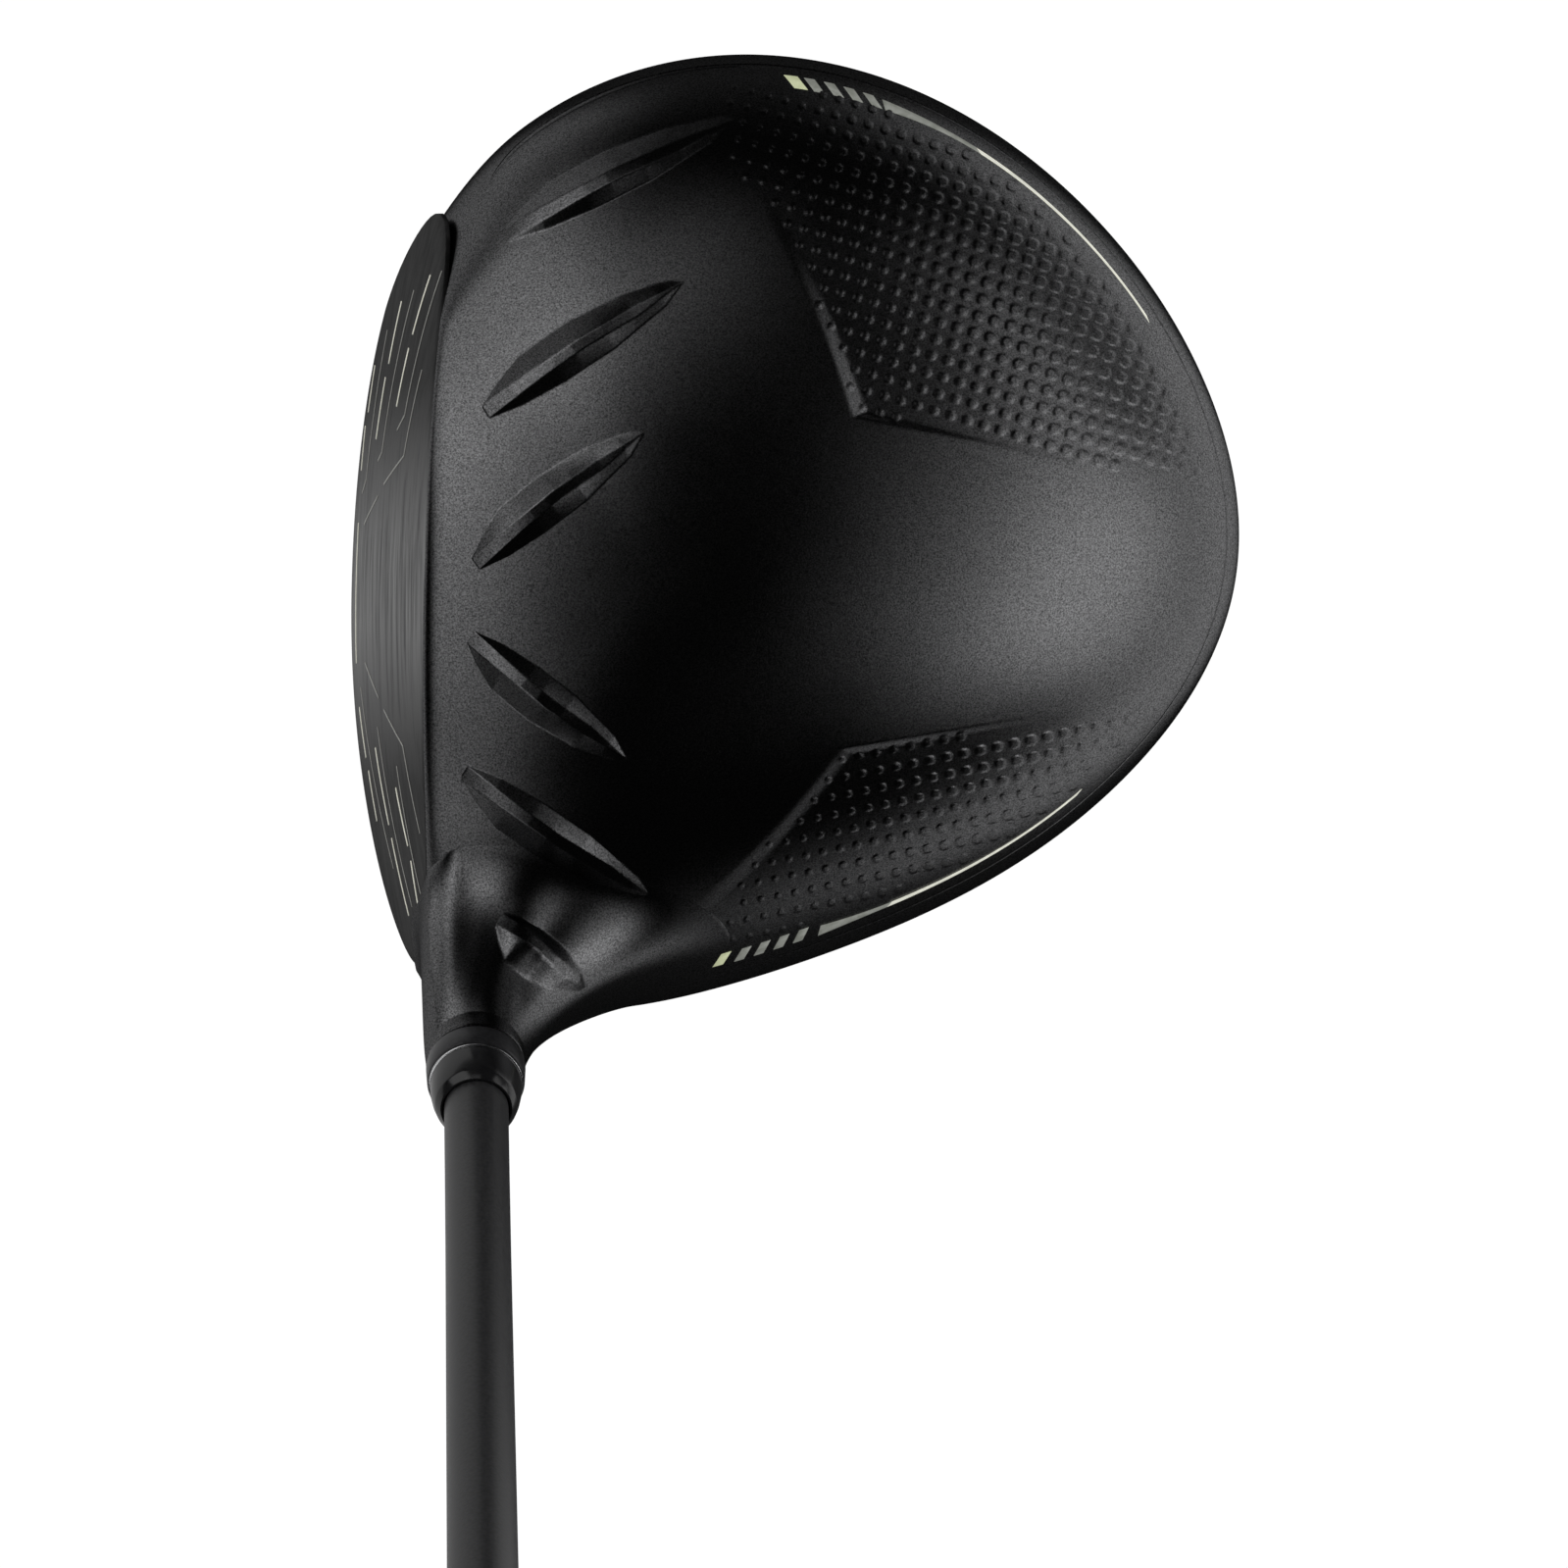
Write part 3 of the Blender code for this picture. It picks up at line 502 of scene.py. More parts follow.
def skin_normal(p):
    """Outward direction of the head at a point on it."""
    x, y, z = p
    r, a = math.hypot(x, y), math.atan2(y, x)
    if z > float(rim_height(np.array(a))):
        def height(u, v):
            return float(crown_z(math.hypot(u, v), np.array(math.atan2(v, u))))
        up = 1.0
    else:
        def height(u, v):
            return float(sole_z(math.hypot(u, v), np.array(math.atan2(v, u))))
        up = -1.0
    if x < face_x(y, z, BODY_FRONT) + 0.1:
        lean = face_x(y + 0.5, z, BODY_FRONT) - face_x(y - 0.5, z, BODY_FRONT)
        tilt = face_x(y, z + 0.5, BODY_FRONT) - face_x(y, z - 0.5, BODY_FRONT)
        return Vector((-1.0, lean, tilt)).normalized()
    e = 0.2
    sx = (height(x + e, y) - height(x - e, y)) / (2 * e)
    sy = (height(x, y + e) - height(x, y - e)) / (2 * e)
    return Vector((-sx * up, -sy * up, up)).normalized()


def make_neck():
    """Neck flaring from the hosel into the head: flat on top, hollow behind.

    Each side of it is a curve from the hosel's rim to a foot on the head. The foot is
    found along a ray from the shaft axis, spread away from the axis by an angle.
    """
    sides, steps = 360, 100
    core_at = 30.0
    axis = Vector((0, -math.cos(LIE), math.sin(LIE)))
    core = Vector(axis_point(0.0, 0.0, core_at))
    # By degrees round the axis: the spread, and how far the curve's first handle runs
    # down the axis and across towards the foot
    stops = [0, 45, 90, 120, 140, 158, 180, 205, 225, 270, 315, 360]
    turns = np.degrees(np.arange(sides) * 2 * math.pi / sides)
    spreads = np.interp(turns, stops, [70, 48, 47, 47, 44, 41, 52, 63, 61, 57, 73, 70])
    down = np.interp(turns, stops, [10, 5, 1, 0, 0, 0, 0, 1, 2, 6, 10, 10])
    across = np.interp(turns, stops, [3, 4, 8, 8, 8, 8, 8, 7, 7, 5, 3, 3])
    for _ in range(60):
        spreads, down, across = ((np.roll(v, 1) + 2 * v + np.roll(v, -1)) / 4
                                 for v in (spreads, down, across))
    # The feet on the face's side, round 140 degrees, are swung towards the toe
    swing = 27.0 * np.exp(-((turns - 140.0) / 35.0) ** 2)
    feet, outs = [], []
    for turn, spread in zip(np.radians(turns - swing), np.radians(spreads)):
        radial = Vector(axis_point(1.0, turn, core_at)) - core
        foot = skin_point(core, core + axis * math.cos(spread) + radial * math.sin(spread))
        feet.append(foot)
        outs.append(skin_normal(foot))
    for _ in range(40):
        outs = [(a + b * 2 + c).normalized()
                for a, b, c in zip(outs[-1:] + outs[:-1], outs, outs[1:] + outs[:1])]
    outer = []
    for i, (foot, out) in enumerate(zip(feet, outs)):
        turn = math.radians(turns[i])
        radial = Vector(axis_point(1.0, turn, core_at)) - core
        start = Vector(axis_point(HOSEL_R, turn, 70.8 - 1.6 * max(math.sin(turn), 0.0)))
        chord = start - foot
        near_edge = math.exp(-((turns[i] - 140.0) / 30.0) ** 2)
        split = Vector([c * (1 - o * o) for c, o in zip(chord, out)])
        flat = ((chord - out * chord.dot(out)).lerp(split, near_edge)).normalized()
        shoulder = radial * 0.8 * math.exp(-((turns[i] - 150.0) / 38.0) ** 2)
        lead = start - axis * down[i] - chord.normalized() * across[i] + shoulder
        follow = foot + flat * 0.36 * chord.length + shoulder * 0.6
        column = []
        for k in range(steps + 1):
            t = k / steps
            column.append(start * (1 - t)**3 + lead * 3 * t * (1 - t)**2
                          + follow * 3 * t * t * (1 - t) + foot * t**3)
        column[-1] = foot - out * 0.12
        outer.append(column)
    outer = np.array([[tuple(p) for p in column] for column in outer])
    # The last ridge runs on over the neck, on its upper side only
    upper = np.clip((outer[..., 2] - 28.0) / 5.0, 0, 1)
    around = np.roll(outer, -1, 0) - np.roll(outer, 1, 0)
    normal = np.cross(np.gradient(outer, axis=1), around)
    normal /= np.maximum(np.linalg.norm(normal, axis=2, keepdims=True), 1e-9)
    normal *= np.sign(normal[..., 2:3])
    raised = upper * ridge_height(outer[..., 0], outer[..., 1], *RIDGES[5])
    outer += normal * raised[..., None]
    around = np.linspace(0, 2 * math.pi, sides, endpoint=False)
    rings = [outer[:, k] for k in range(steps, -1, -1)]
    rings.append(axis_point(HOSEL_R, around, HOSEL_TOP - 0.35))
    rings.append(axis_point(HOSEL_R - 0.1, around, HOSEL_TOP - 0.1))
    rings.append(axis_point(HOSEL_R - 0.3, around, HOSEL_TOP))
    rings.append(axis_point(BORE_R + 0.1, around, HOSEL_TOP))
    rings.append(axis_point(BORE_R, around, HOSEL_TOP - 0.2))
    rings.append(axis_point(BORE_R, around, SEAT_TOP + 1.0))
    return new_piece("hosel_neck", np.concatenate(rings), ring_faces(len(rings), sides),
                     "head", 35.0)


# ---------------------------------------------------------------- face

PLATE_DEPTH = 0.32           # the plate's skin and its paint, behind the nominal surface
PAINT_DEPTH = 0.29


def plate_limit(turn, inset):
    """How far the face plate reaches from its hub in a direction, less an inset."""
    low, high = 5.0, 80.0
    for _ in range(32):
        b = (low + high) / 2
        y, z = FACE_HUB[0] + b * math.cos(turn), FACE_HUB[1] + b * math.sin(turn)
        x = float(face_x(y, z))
        r, a = math.hypot(x, y), np.array(math.atan2(y, x))
        ok = r < outline_radius(a) and sole_z(r, a) < z < crown_z(r, a) and y > -56.0
        if ok:
            low = b
        else:
            high = b
    return low - inset


def make_face():
    """Face plate's outer skin in rings round its hub, with a turned-in edge."""
    sides, rows, inset = 220, 26, 0.8
    limits = np.array([plate_limit(2 * math.pi * i / sides, inset) for i in range(sides)])
    for _ in range(3):
        limits = (np.roll(limits, 1) + 2 * limits + np.roll(limits, -1)) / 4
    turn = np.linspace(0, 2 * math.pi, sides, endpoint=False)
    rings = []
    for k in range(1, rows + 1):
        b = limits * k / rows
        y, z = FACE_HUB[0] + b * np.cos(turn), FACE_HUB[1] + b * np.sin(turn)
        rings.append(np.stack([face_x(y, z, PLATE_DEPTH), y, z], -1))
    for grow, depth in ((0.02, 0.34), (0.02, 0.9)):
        b = limits + grow
        y, z = FACE_HUB[0] + b * np.cos(turn), FACE_HUB[1] + b * np.sin(turn)
        rings.append(np.stack([face_x(y, z, depth), y, z], -1))
    points = np.concatenate(rings)
    faces = ring_faces(len(rings), sides)
    points = np.concatenate([points, [[float(face_x(*FACE_HUB, PLATE_DEPTH)), *FACE_HUB]]])
    hub = len(points) - 1
    for i in range(sides):
        faces.append([hub, (i + 1) % sides, i])
    return new_piece("face_skin", points, faces, "head", 40.0)


# Paint-filled face lines: height and heel-toe ends on the face, and width
FACE_DASHES = [
    ((41.5, 40.0), (33.6, 37.8)), ((31.8, 37.1), (24.0, 35.2)), ((38.4, 27.7), (30.0, 26.1)),
    ((28.2, 25.1), (19.9, 23.2)), ((30.1, 15.1), (23.8, 13.5)), ((22.0, 11.8), (15.9, 11.5)),
    ((-16.3, 13.0), (-23.1, 15.8)), ((-24.9, 17.0), (-31.7, 19.1)),
    ((-21.8, 25.0), (-32.2, 28.5)), ((-34.0, 29.1), (-44.4, 31.4)),
    ((-27.2, 36.6), (-35.0, 39.1)), ((-37.0, 39.5), (-44.8, 38.6)),
]
FACE_LINES = [
    ((41.9, 44.8), (22.7, 40.8), (20.8, 37.4)), ((39.7, 33.5), (18.0, 28.7), (16.9, 26.3)),
    ((34.7, 21.7), (14.6, 17.4), (12.8, 14.4)), ((28.6, 46.3), (17.2, 43.0), (13.6, 31.9)),
    ((12.1, 28.2), (8.5, 18.1)), ((-10.3, 20.6), (-15.1, 30.2)),
    ((-16.7, 33.4), (-21.6, 43.5), (-33.3, 47.2)), ((-13.6, 15.6), (-38.1, 26.8)),
    ((-19.0, 28.0), (-43.2, 34.9)), ((-24.3, 38.7), (-43.4, 42.1)),
]
FACE_CENTRE = [((8.8, 12.0), (-10.3, 12.0))]


def make_strips(name, lines, width):
    """Thin painted lines that follow the face."""
    points, faces = [], []
    for line in lines:
        pieces = []
        for (y0, z0), (y1, z1) in zip(line, line[1:]):
            steps = max(2, int(math.hypot(y1 - y0, z1 - z0) / 1.5))
            for k in range(steps + (1 if (y1, z1) == line[-1] else 0)):
                t = k / steps
                pieces.append((y0 + (y1 - y0) * t, z0 + (z1 - z0) * t))
        for k, (y, z) in enumerate(pieces):
            a, b = pieces[max(k - 1, 0)], pieces[min(k + 1, len(pieces) - 1)]
            dy, dz = b[0] - a[0], b[1] - a[1]
            size = math.hypot(dy, dz)
            ny, nz = -dz / size * width / 2, dy / size * width / 2
            for side in (-1, 1):
                yy, zz = y + ny * side, z + nz * side
                points.append((float(face_x(yy, zz, PAINT_DEPTH)), yy, zz))
            if k:
                m = len(points)
                faces.append((m - 4, m - 3, m - 1, m - 2))
    obj = new_piece(name, points, faces, "head")
    mod = obj.modifiers.new("paint", "SOLIDIFY")
    mod.thickness = 0.00006
    mod.offset = 0.0
    return obj


# ---------------------------------------------------------------- rim stripes

def rim_strip(name, spans):
    """Thin inlay along the rim. Each span gives its ends in degrees, its width at both
    ends, its middle's distance from the outline at both ends, and its ends' lean."""
    points, faces = [], []
    for start, end, wide0, wide1, middle0, middle1, lean in spans:
        steps = max(2, int(abs(end - start) / 0.6))
        for k in range(steps + 1):
            t = k / steps
            wide = wide1 + (wide0 - wide1) * (1 - t) ** 1.7
            middle = middle0 + (middle1 - middle0) * t
            for side in (-1, 1):
                angle = np.array(math.radians(start + (end - start) * t + lean * side))
                r = float(outline_radius(angle)) - middle + side * wide / 2
                z = float(crown_z(r, angle)) + 0.05
                points.append((r * math.cos(angle), r * math.sin(angle), z))
            if k:
                m = len(points)
                faces.append((m - 4, m - 3, m - 1, m - 2))
    obj = new_piece(name, points, faces, "head")
    mod = obj.modifiers.new("paint", "SOLIDIFY")
    mod.thickness = 0.00005
    mod.offset = 0.0
    return obj


# ---------------------------------------------------------------- materials

class Nodes:
    """A material's node tree, with one Principled BSDF."""

    def __init__(self, name, colour, roughness, metallic=0.0):
        self.mat = bpy.data.materials.new(name)
        self.mat.use_nodes = True
        self.tree = self.mat.node_tree
        self.shader = self.tree.nodes["Principled BSDF"]
        self.shader.inputs["Base Color"].default_value = (*colour, 1)
        self.shader.inputs["Roughness"].default_value = roughness
        self.shader.inputs["Metallic"].default_value = metallic
        self.place = self.node("ShaderNodeTexCoord").outputs["Object"]

    def node(self, kind, **values):
        made = self.tree.nodes.new(kind)
        for key, value in values.items():
            setattr(made, key, value)
        return made

    def link(self, a, b):
        self.tree.links.new(a, b)

    def noise(self, scale, stretch=(1, 1, 1), detail=2.0, rough=0.5):
        """Noise in the object's own coordinates, stretched along its axes."""
        mapping = self.node("ShaderNodeMapping")
        mapping.inputs["Scale"].default_value = stretch
        self.link(self.place, mapping.inputs["Vector"])
        made = self.node("ShaderNodeTexNoise")
        made.inputs["Scale"].default_value = scale
        made.inputs["Detail"].default_value = detail
        made.inputs["Roughness"].default_value = rough
        self.link(mapping.outputs["Vector"], made.inputs["Vector"])
        return made.outputs["Fac"]

    def ramp(self, value, low, high, a, b):
        """Map a value from low..high to a..b, clamped."""
        made = self.node("ShaderNodeMapRange")
        made.inputs["From Min"].default_value = low
        made.inputs["From Max"].default_value = high
        made.inputs["To Min"].default_value = a
        made.inputs["To Max"].default_value = b
        self.link(value, made.inputs["Value"])
        return made.outputs["Result"]

    def mix(self, value, a, b):
        """Mix two colours by a value."""
        made = self.node("ShaderNodeMix", data_type="RGBA")
        self.link(value, made.inputs[0])
        made.inputs[6].default_value = (*a, 1)
        made.inputs[7].default_value = (*b, 1)
        return made.outputs[2]

    def bump(self, value, strength, distance=0.0001):
        made = self.node("ShaderNodeBump")
        made.inputs["Strength"].default_value = strength
        made.inputs["Distance"].default_value = distance
        self.link(value, made.inputs["Height"])
        self.link(made.outputs["Normal"], self.shader.inputs["Normal"])

    def add_shader(self, other):
        """Add a second shader to the first, on the same bumped surface."""
        self.link(self.shader.inputs["Normal"].links[0].from_socket, other.inputs["Normal"])
        both = self.node("ShaderNodeAddShader")
        self.link(self.shader.outputs["BSDF"], both.inputs[0])
        self.link(other.outputs["BSDF"], both.inputs[1])
        self.link(both.outputs["Shader"],
                  self.tree.nodes["Material Output"].inputs["Surface"])

    def colour(self, socket):
        self.link(socket, self.shader.inputs["Base Color"])

    def rough(self, socket):
        self.link(socket, self.shader.inputs["Roughness"])


def flake_paint(name, low, high, roughness, grain, speckle):
    """Matt black paint with fine metal flakes: dark except where it mirrors a light."""
    m = Nodes(name, (0.0015, 0.0015, 0.0015), 0.6)
    m.shader.inputs["Specular IOR Level"].default_value = 0.0
    fine = m.noise(grain, detail=2.0, rough=0.7)
    broad = m.noise(60.0, detail=2.0)
    flakes = m.node("ShaderNodeBsdfAnisotropic", distribution="BECKMANN")
    m.link(m.mix(m.ramp(fine, 0.32, 0.68, 0, 1), low, high), flakes.inputs["Color"])
    m.link(m.ramp(broad, 0.3, 0.7, roughness - 0.015, roughness + 0.015),
           flakes.inputs["Roughness"])
    m.bump(fine, speckle)
    m.add_shader(flakes)
    return m.mat


def metal(name, a, b, roughness, stretch, scale, strength=0.12):
    """Metal with grain, or with brush lines where the noise is stretched."""
    m = Nodes(name, a, roughness, 1.0)
    lines = m.noise(scale, stretch, detail=4.0, rough=0.6)
    m.colour(m.mix(m.ramp(lines, 0.3, 0.7, 0, 1), a, b))
    m.rough(m.ramp(lines, 0.3, 0.7, roughness - 0.06, roughness + 0.08))
    m.bump(lines, strength, 0.00005)
    return m.mat


def face_steel(name):
    """Dark brushed plate with a painted highlight: its colour is brightest in a band down the
    middle and dimmer towards heel and toe.
    """
    m = Nodes(name, (0.006, 0.006, 0.006), 0.5)
    m.shader.inputs["Specular IOR Level"].default_value = 0.05
    split = m.node("ShaderNodeSeparateXYZ")
    m.link(m.place, split.inputs[0])
    off = m.node("ShaderNodeMath", operation="ABSOLUTE")
    m.link(split.outputs["Y"], off.inputs[0])
    streaks = m.noise(40.0, (19, 1.0, 19), 5.0, 0.65)
    ragged = m.node("ShaderNodeMath", operation="MULTIPLY_ADD")
    m.link(m.ramp(streaks, 0.3, 0.7, -1, 1), ragged.inputs[0])
    ragged.inputs[1].default_value = 0.006
    m.link(off.outputs[0], ragged.inputs[2])
    # Painted highlight: the colour stays full in a ragged band near the middle and falls to a
    # tenth towards heel and toe, standing in for reflected light.
    painted_highlight = m.ramp(ragged.outputs[0], 0.007, 0.027, 1, 0.1)
    tone = m.mix(m.ramp(streaks, 0.36, 0.64, 0, 1), (0.1, 0.1, 0.102), (0.32, 0.32, 0.32))
    shade = m.node("ShaderNodeMix", data_type="RGBA", blend_type="MULTIPLY")
    shade.inputs[0].default_value = 1.0
    m.link(tone, shade.inputs[6])
    m.link(painted_highlight, shade.inputs[7])
    m.bump(streaks, 0.3, 0.00005)
    gloss = m.node("ShaderNodeBsdfAnisotropic", distribution="BECKMANN")
    gloss.inputs["Roughness"].default_value = 0.3
    m.link(shade.outputs[2], gloss.inputs["Color"])
    m.add_shader(gloss)
    return m.mat


def plain(name, a, b, roughness, scale, strength, metallic=0.0, glow=0.0):
    """Even surface with a fine grain. A glow is painted light: the paint gives off its own
    colour, which keeps thin light paint readable.
    """
    m = Nodes(name, a, roughness, metallic)
    grain = m.noise(scale, detail=3.0)
    tone = m.mix(m.ramp(grain, 0.35, 0.65, 0, 1), a, b)
    m.colour(tone)
    m.rough(m.ramp(grain, 0.3, 0.7, roughness - 0.05, roughness + 0.05))
    m.bump(grain, strength)
    if glow:
        m.link(tone, m.shader.inputs["Emission Color"])
        m.shader.inputs["Emission Strength"].default_value = glow
    return m.mat


crown_black = flake_paint("crown paint", (0.04, 0.04, 0.041), (0.19, 0.19, 0.194),
                          0.33, 4200.0, 0.2)
body_black = flake_paint("body paint", (0.04, 0.04, 0.041), (0.19, 0.19, 0.194),
                         0.33, 4200.0, 0.18)
face_metal = face_steel("face brushed metal")
bright = metal("bright turned steel", (0.62, 0.62, 0.63), (0.75, 0.75, 0.76), 0.22,
               (1, 1, 1), 900.0, 0.05)
dark_steel = metal("blackened steel", (0.10, 0.10, 0.11), (0.14, 0.14, 0.15), 0.38,
                   (1, 1, 1), 1500.0, 0.1)
bolt_steel = metal("screw steel", (0.25, 0.25, 0.26), (0.34, 0.34, 0.35), 0.3,
                   (1, 1, 1), 1800.0, 0.08)
tungsten = metal("blasted tungsten", (0.19, 0.19, 0.20), (0.26, 0.26, 0.27), 0.46,
                 (1, 1, 1), 2600.0, 0.3)
badge_metal = metal("brushed badge", (0.45, 0.46, 0.47), (0.62, 0.63, 0.64), 0.3,
                    (60, 1.5, 60), 60.0, 0.12)
gasket = plain("gasket rubber", (0.02, 0.02, 0.02), (0.03, 0.03, 0.03), 0.8, 1500.0, 0.3)
collar_black = plain("collar anodising", (0.035, 0.035, 0.037), (0.05, 0.05, 0.053), 0.34,
                     1800.0, 0.08, 0.5)
ferrule_black = plain("ferrule gloss", (0.012, 0.012, 0.013), (0.018, 0.018, 0.019), 0.2,
                      300.0, 0.03)
shaft_black = plain("shaft composite", (0.03, 0.03, 0.031), (0.05, 0.05, 0.052), 0.38,
                    2200.0, 0.15)
shaft_black.node_tree.nodes["Principled BSDF"].inputs["Specular IOR Level"].default_value = 0.4
plug_brass = metal("plug brass", (0.58, 0.40, 0.15), (0.68, 0.48, 0.2), 0.35, (1, 1, 1),
                   900.0, 0.08)
tape_paper = plain("tape paper", (0.5, 0.46, 0.36), (0.62, 0.58, 0.47), 0.85, 900.0, 0.3)
# The face paints and accent paints below glow: painted light, emission that keeps them bright
# whatever the lamps do.
face_paint = plain("face paint cream", (0.74, 0.73, 0.62), (0.86, 0.85, 0.74), 0.5, 900.0,
                   0.1, 0.0, 0.35)
face_grey = plain("face paint grey", (0.34, 0.34, 0.32), (0.42, 0.42, 0.39), 0.5, 900.0,
                  0.1, 0.0, 0.15)
chip_paint = plain("accent chips", (0.24, 0.25, 0.22), (0.32, 0.33, 0.30), 0.45, 900.0,
                   0.1, 0.0, 0.45)
chip_lime = plain("accent lime", (0.56, 0.60, 0.37), (0.62, 0.66, 0.42), 0.45, 900.0,
                  0.1, 0.0, 0.55)
line_paint = plain("accent line", (0.62, 0.62, 0.54), (0.74, 0.74, 0.64), 0.45, 900.0,
                   0.1, 0.0, 0.75)


def grip_material():
    """Matt black rubber with a coarse grain."""
    m = Nodes("grip rubber", (0.02, 0.02, 0.021), 0.8)
    grain = m.noise(1400.0, detail=4.0)
    m.colour(m.mix(m.ramp(grain, 0.35, 0.65, 0, 1), (0.016, 0.016, 0.017),
                   (0.03, 0.03, 0.031)))
    m.bump(grain, 0.35)
    return m.mat


grip_rubber = grip_material()


def dress(obj, mat):
    """Give a piece one material in place of any it has."""
    obj.data.materials.clear()
    obj.data.materials.append(mat)


# ---------------------------------------------------------------- building

crown = make_crown()
dress(crown, crown_black)
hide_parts("crown_shell")

body = make_body()
cut(body, well_cutter())
cut(body, oriented(WEIGHT_AT, WEIGHT_NORMAL, round_box(*POCKET_HALVES, 2.0), -POCKET_DEPTH,
                   12.0, "pocket"))
badge_oval = [(BADGE_HALVES[0] * math.cos(t), BADGE_HALVES[1] * math.sin(t))
              for t in np.linspace(0, 2 * math.pi, 72, endpoint=False)]
cut(body, oriented(BADGE_AT, BADGE_NORMAL, badge_oval, -BADGE_DEPTH, 4.0, "recess"))
body.data.shade_smooth()
body.data.set_sharp_from_angle(angle=math.radians(35))
dress(body, body_black)
neck = make_neck()
dress(neck, body_black)
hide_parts("body_shell")

face = make_face()
dress(face, face_metal)
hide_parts("face_plate")
dashes = make_strips("face_dashes", FACE_DASHES + FACE_CENTRE, 0.45)
dress(dashes, face_paint)
lines = make_strips("face_lines", FACE_LINES, 0.26)
dress(lines, face_grey)

lime = rim_strip("accent_lime", [(74.1, 72.6, 1.7, 1.7, 3.75, 3.75, 0.75),
                                 (-79.2, -77.6, 1.4, 1.4, 3.8, 3.8, -0.8)])
dress(lime, chip_lime)
chips = rim_strip("accent_chips", [(71.9 - 2.15 * k, 70.75 - 2.15 * k, 1.7 - 0.1 * k,
                                    1.7 - 0.1 * k, 3.8, 3.8, 0.75) for k in range(4)]
                  + [(-75.9 + 3.05 * k, -74.4 + 3.05 * k, 1.4, 1.4, 3.7, 3.7, -0.8)
                     for k in range(4)])
dress(chips, chip_paint)
wedges = rim_strip("accent_wedges", [(63.6, 52.5, 1.3, 0.42, 3.85, 3.65, 0.4),
                                     (-63.2, -52.5, 1.2, 0.42, 3.45, 3.4, -0.5)])
dress(wedges, chip_paint)
long_line = rim_strip("accent_lines", [(52.5, 27.9, 0.42, 0.24, 3.65, 3.25, 0.4),
                                       (-52.5, -25.4, 0.42, 0.24, 3.4, 3.3, -0.5)])
dress(long_line, line_paint)

collar = spun("collar", [(5.2, HOSEL_TOP + 0.25), (6.35, HOSEL_TOP + 0.25),
                         (6.55, HOSEL_TOP + 0.45), (6.6, 72.8), (6.48, 75.8), (6.36, 76.1),
                         (6.2, 76.18), (4.6, 76.18), (4.6, 40.0), (2.8, 40.0), (2.8, 27.0),
                         (4.8, 27.0), (5.3, 28.0)], "shaft_unit")
dress(collar, collar_black)
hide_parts("adapter_sleeve")
trim = spun("trim_ring", [(4.6, 76.35), (6.15, 76.35), (6.26, 76.42), (6.26, 76.58),
                          (6.15, 76.65), (4.6, 76.65)], "shaft_unit")
dress(trim, bright)
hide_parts("ferrule_trim_ring")
ferrule = spun("ferrule_skin", [(4.6, 76.8), (6.0, 76.8), (6.1, 76.95), (6.03, 78.4),
                                (5.82, 80.0), (5.5, 81.4), (5.4, 81.7), (4.75, 82.6),
                                (4.5, 82.6)], "shaft_unit", 144, 20.0)
dress(ferrule, ferrule_black)
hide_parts("ferrule")


def shaft_radius(s):
    """The shaft's radius: even at the tip, then growing to the butt."""
    taper = (s - TIP_PARALLEL) / (CLUB_LENGTH - TIP_PARALLEL)
    return TIP_R + SHAFT_FLARE * max(0.0, taper)


stations = np.linspace(SHAFT_TIP, CLUB_LENGTH - 4, 60)
profile = [(shaft_radius(s), s) for s in stations]
profile += [(shaft_radius(s) - SHAFT_WALL, s) for s in stations[::-1]]
shaft = spun("shaft_tube", profile, "shaft_unit")
dress(shaft, shaft_black)
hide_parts("shaft")


def make_grip():
    """Grip over the tape, growing to the butt, with fine crossed grooves."""
    sides, rows, tape = 120, 420, 1.15
    foot, end = CLUB_LENGTH - GRIP_LENGTH, CLUB_LENGTH - 3.2
    around = np.linspace(0, 2 * math.pi, sides, endpoint=False)
    rings = [axis_point(shaft_radius(foot) + tape, around, foot)]
    for k in range(rows + 1):
        s = foot + (end - foot) * k / rows
        t = (s - foot) / GRIP_LENGTH
        r = 9.6 + 3.4 * t**1.6
        r -= 0.9 * math.exp(-(s - foot) / 1.2)
        wave_a = np.sin(around * 12 + s * 0.9)
        wave_b = np.sin(around * 12 - s * 0.9)
        cut_in = np.clip((np.maximum(wave_a, wave_b) - 0.86) / 0.14, 0, 1)
        ends = min(1.0, max(0.0, (s - foot - 8) / 4), max(0.0, (end - s - 6) / 4))
        rings.append(axis_point(r - 0.35 * cut_in * ends, around, s))
    rings.append(axis_point(shaft_radius(end) + tape, around, end))
    return new_piece("grip_skin", np.concatenate(rings), ring_faces(len(rings), sides),
                     "shaft_unit", 50.0)


grip = make_grip()
dress(grip, grip_rubber)
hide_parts("grip")
cap = spun("grip_end_cap", [(1.5, 1162.0), (1.9, 1161.8), (10.5, 1161.8), (10.8, 1162.0),
                            (13.2, 1162.0), (13.9, 1161.7), (14.3, 1161.0), (14.3, 1160.0),
                            (13.9, 1159.4), (13.3, 1159.1), (1.5, 1159.1)],
           "shaft_unit")
dress(cap, grip_rubber)
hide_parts("grip_cap")

CARRIED = {
    "bolt_seat_washer": bright, "bolt_retaining_ring": dark_steel, "sole_badge": badge_metal,
    "weight_rail": bright, "hosel_bolt": bolt_steel, "shaft_tip_plug": plug_brass,
    "grip_tape": tape_paper, "rear_weight": tungsten, "weight_gasket": gasket,
    "weight_nut": dark_steel, "weight_screw": bolt_steel,
}
for node, mat in CARRIED.items():
    dress(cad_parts[node], mat)


# ---------------------------------------------------------------- studio

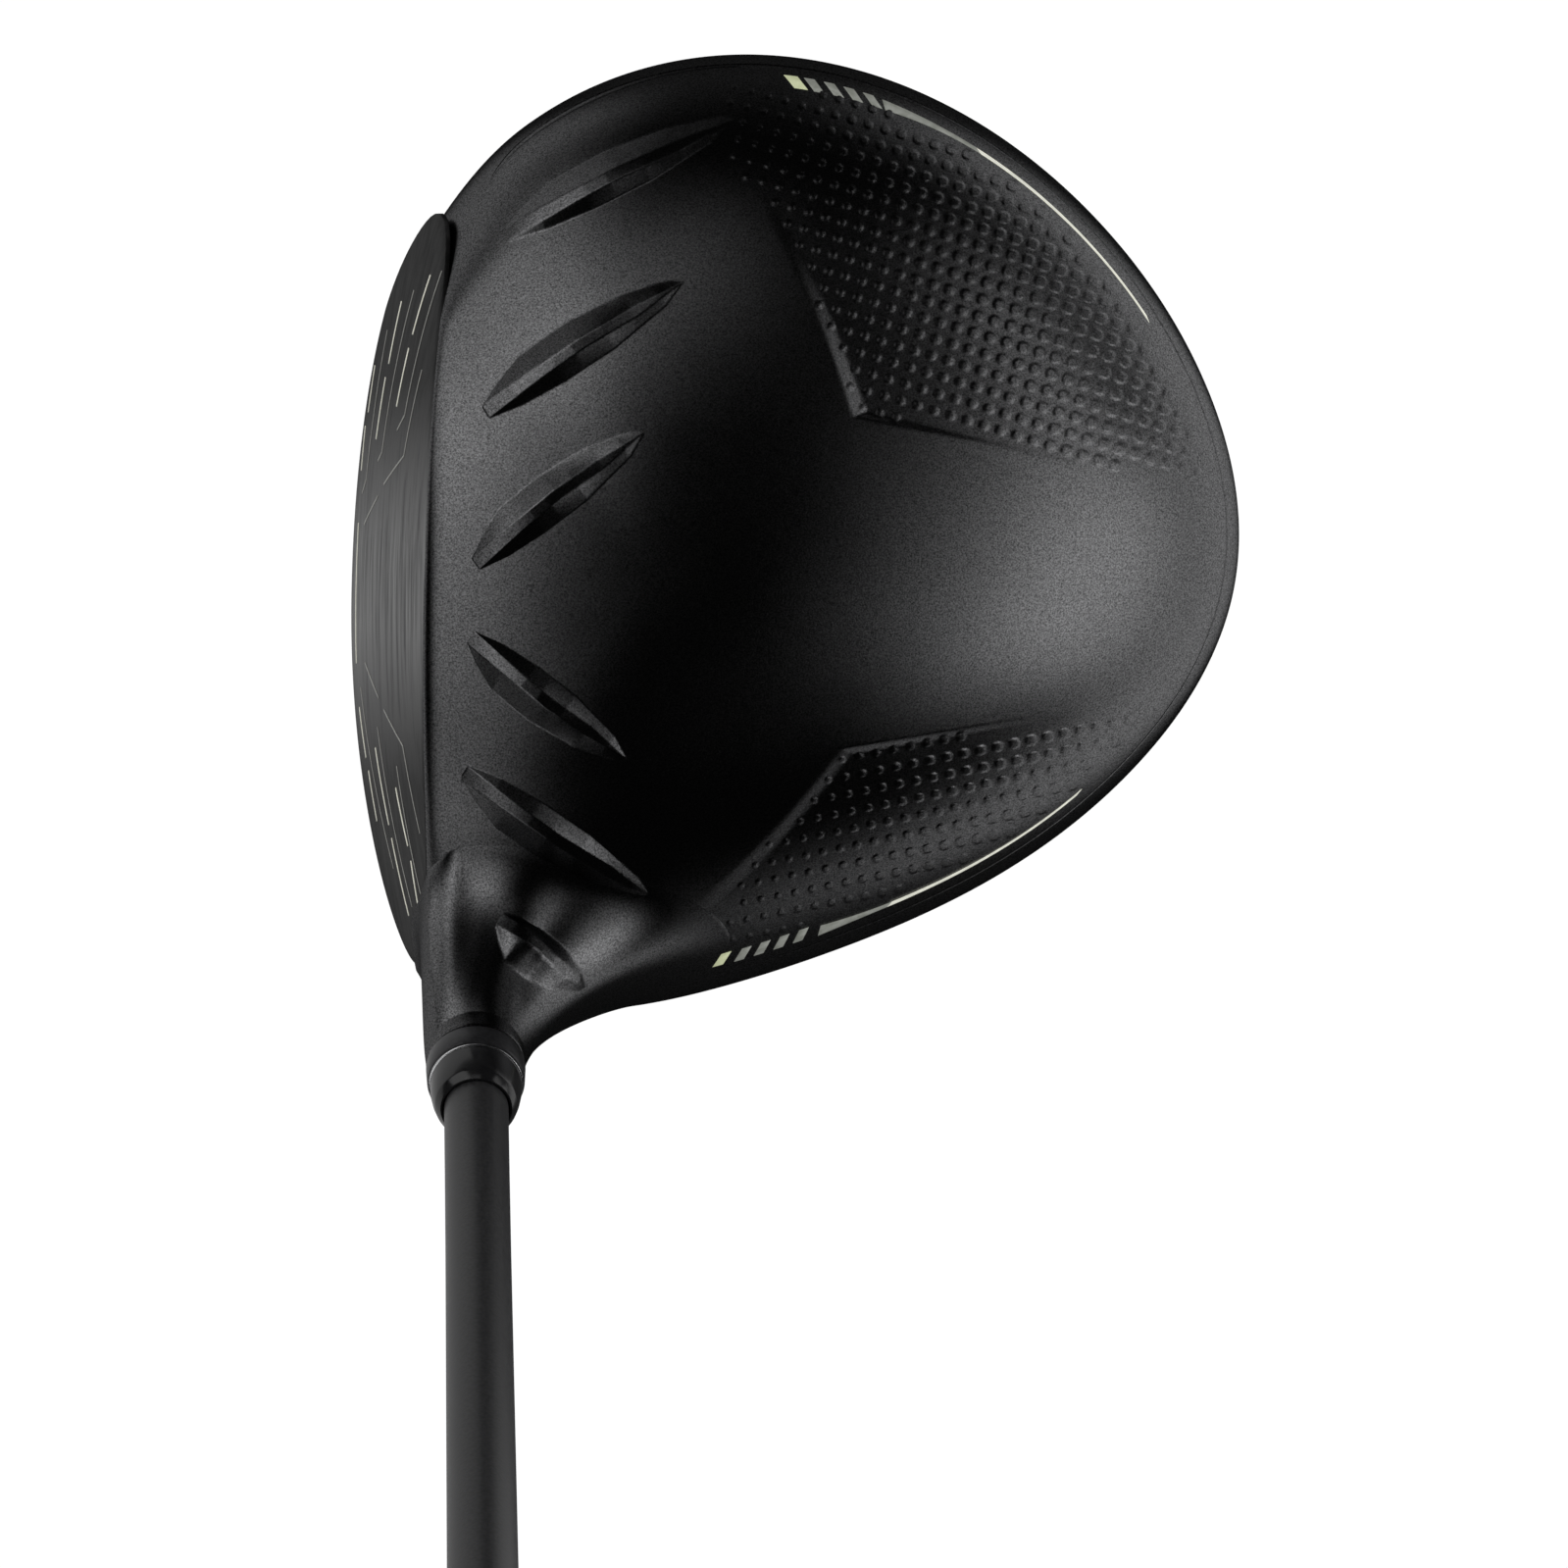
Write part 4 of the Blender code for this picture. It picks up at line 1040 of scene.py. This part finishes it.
def floor_material():
    """Grey floor for the light that reaches the head, seen white by the camera."""
    m = Nodes("floor", (0.12, 0.12, 0.12), 0.8)
    soft = m.noise(3.0)
    m.colour(m.mix(soft, (0.115, 0.115, 0.115), (0.125, 0.125, 0.125)))
    m.shader.inputs["Emission Color"].default_value = (1, 1, 1, 1)
    seen = m.node("ShaderNodeLightPath").outputs["Is Camera Ray"]
    m.link(seen, m.shader.inputs["Emission Strength"])
    return m.mat


bpy.ops.mesh.primitive_grid_add(x_subdivisions=8, y_subdivisions=8, size=60.0,
                                location=(0, 0, -0.0006))
floor = bpy.context.object
floor.name = "floor"
floor.data.materials.append(floor_material())

world = bpy.data.worlds.new("studio")
bpy.context.scene.world = world
world.use_nodes = True
tree = world.node_tree
sky = tree.nodes["Background"]
path = tree.nodes.new("ShaderNodeLightPath")
blend = tree.nodes.new("ShaderNodeMix")
blend.data_type = "RGBA"
blend.inputs[6].default_value = (0.005, 0.005, 0.005, 1)
blend.inputs[7].default_value = (1, 1, 1, 1)
tree.links.new(path.outputs["Is Camera Ray"], blend.inputs[0])
tree.links.new(blend.outputs[2], sky.inputs["Color"])


def softbox(name, at, to, wide, tall, power):
    """Area light at a place, facing another, unseen by the camera."""
    light = bpy.data.lights.new(name, "AREA")
    light.shape = "RECTANGLE"
    light.size, light.size_y = wide, tall
    light.energy = power
    obj = bpy.data.objects.new(name, light)
    bpy.context.scene.collection.objects.link(obj)
    obj.location = at
    obj.visible_camera = False
    obj.rotation_euler = (Vector(at) - Vector(to)).to_track_quat("Z", "Y").to_euler()
    return obj


def panel(name, azimuth, zenith, away, wide, tall, radiance):
    """Softbox facing the head from a direction, with an even radiance."""
    azimuth, zenith = math.radians(azimuth), math.radians(zenith)
    way = Vector((math.cos(azimuth) * math.sin(zenith), math.sin(azimuth) * math.sin(zenith),
                  math.cos(zenith)))
    to = Vector((0, 0, 0.04))
    return softbox(name, to + way * away, to, wide, tall, radiance * math.pi * wide * tall)


panel("front", 166, 30, 1.2, 1.3, 0.46, 1.15)
panel("toe_front", 138, 60, 1.2, 0.9, 1.0, 1.0)
panel("toe", 92, 42, 1.2, 0.45, 0.35, 0.45)
panel("rear_toe", 30, 66, 1.4, 0.5, 0.35, 1.0)
panel("heel_front", 228, 59, 1.2, 0.5, 0.66, 0.8)
panel("rear_low", -9, 69, 1.4, 1.2, 0.9, 1.5)
panel("rear_high", -4, 40, 1.4, 1.0, 0.35, 0.5)
for name, x, power in (("rear_floor", 0.35, 1.0), ("front_floor", -0.29, 0.5)):
    glow = softbox(name, (x, -0.04, 0.002), (x, -0.04, -1.0), 0.5, 0.7, power)
    glow.rotation_euler = (math.pi, 0, 0)

camera = bpy.data.cameras.new("camera")
camera.sensor_width = 36.0
camera.lens = 335.6
camera.clip_end = 100.0
camera_obj = bpy.data.objects.new("camera", camera)
bpy.context.scene.collection.objects.link(camera_obj)
tilt = math.radians(1.7)
aim = Vector((0.0197, -0.0267, 0.0))
back = Vector((-math.sin(tilt), 0, math.cos(tilt)))
up = Vector((0, 1, 0))
side = up.cross(back).normalized()
place = Matrix((side, back.cross(side), back)).transposed().to_4x4()
place.translation = aim + back * 2.0
camera_obj.matrix_world = place
bpy.context.scene.camera = camera_obj
bpy.context.scene.view_settings.view_transform = "Standard"
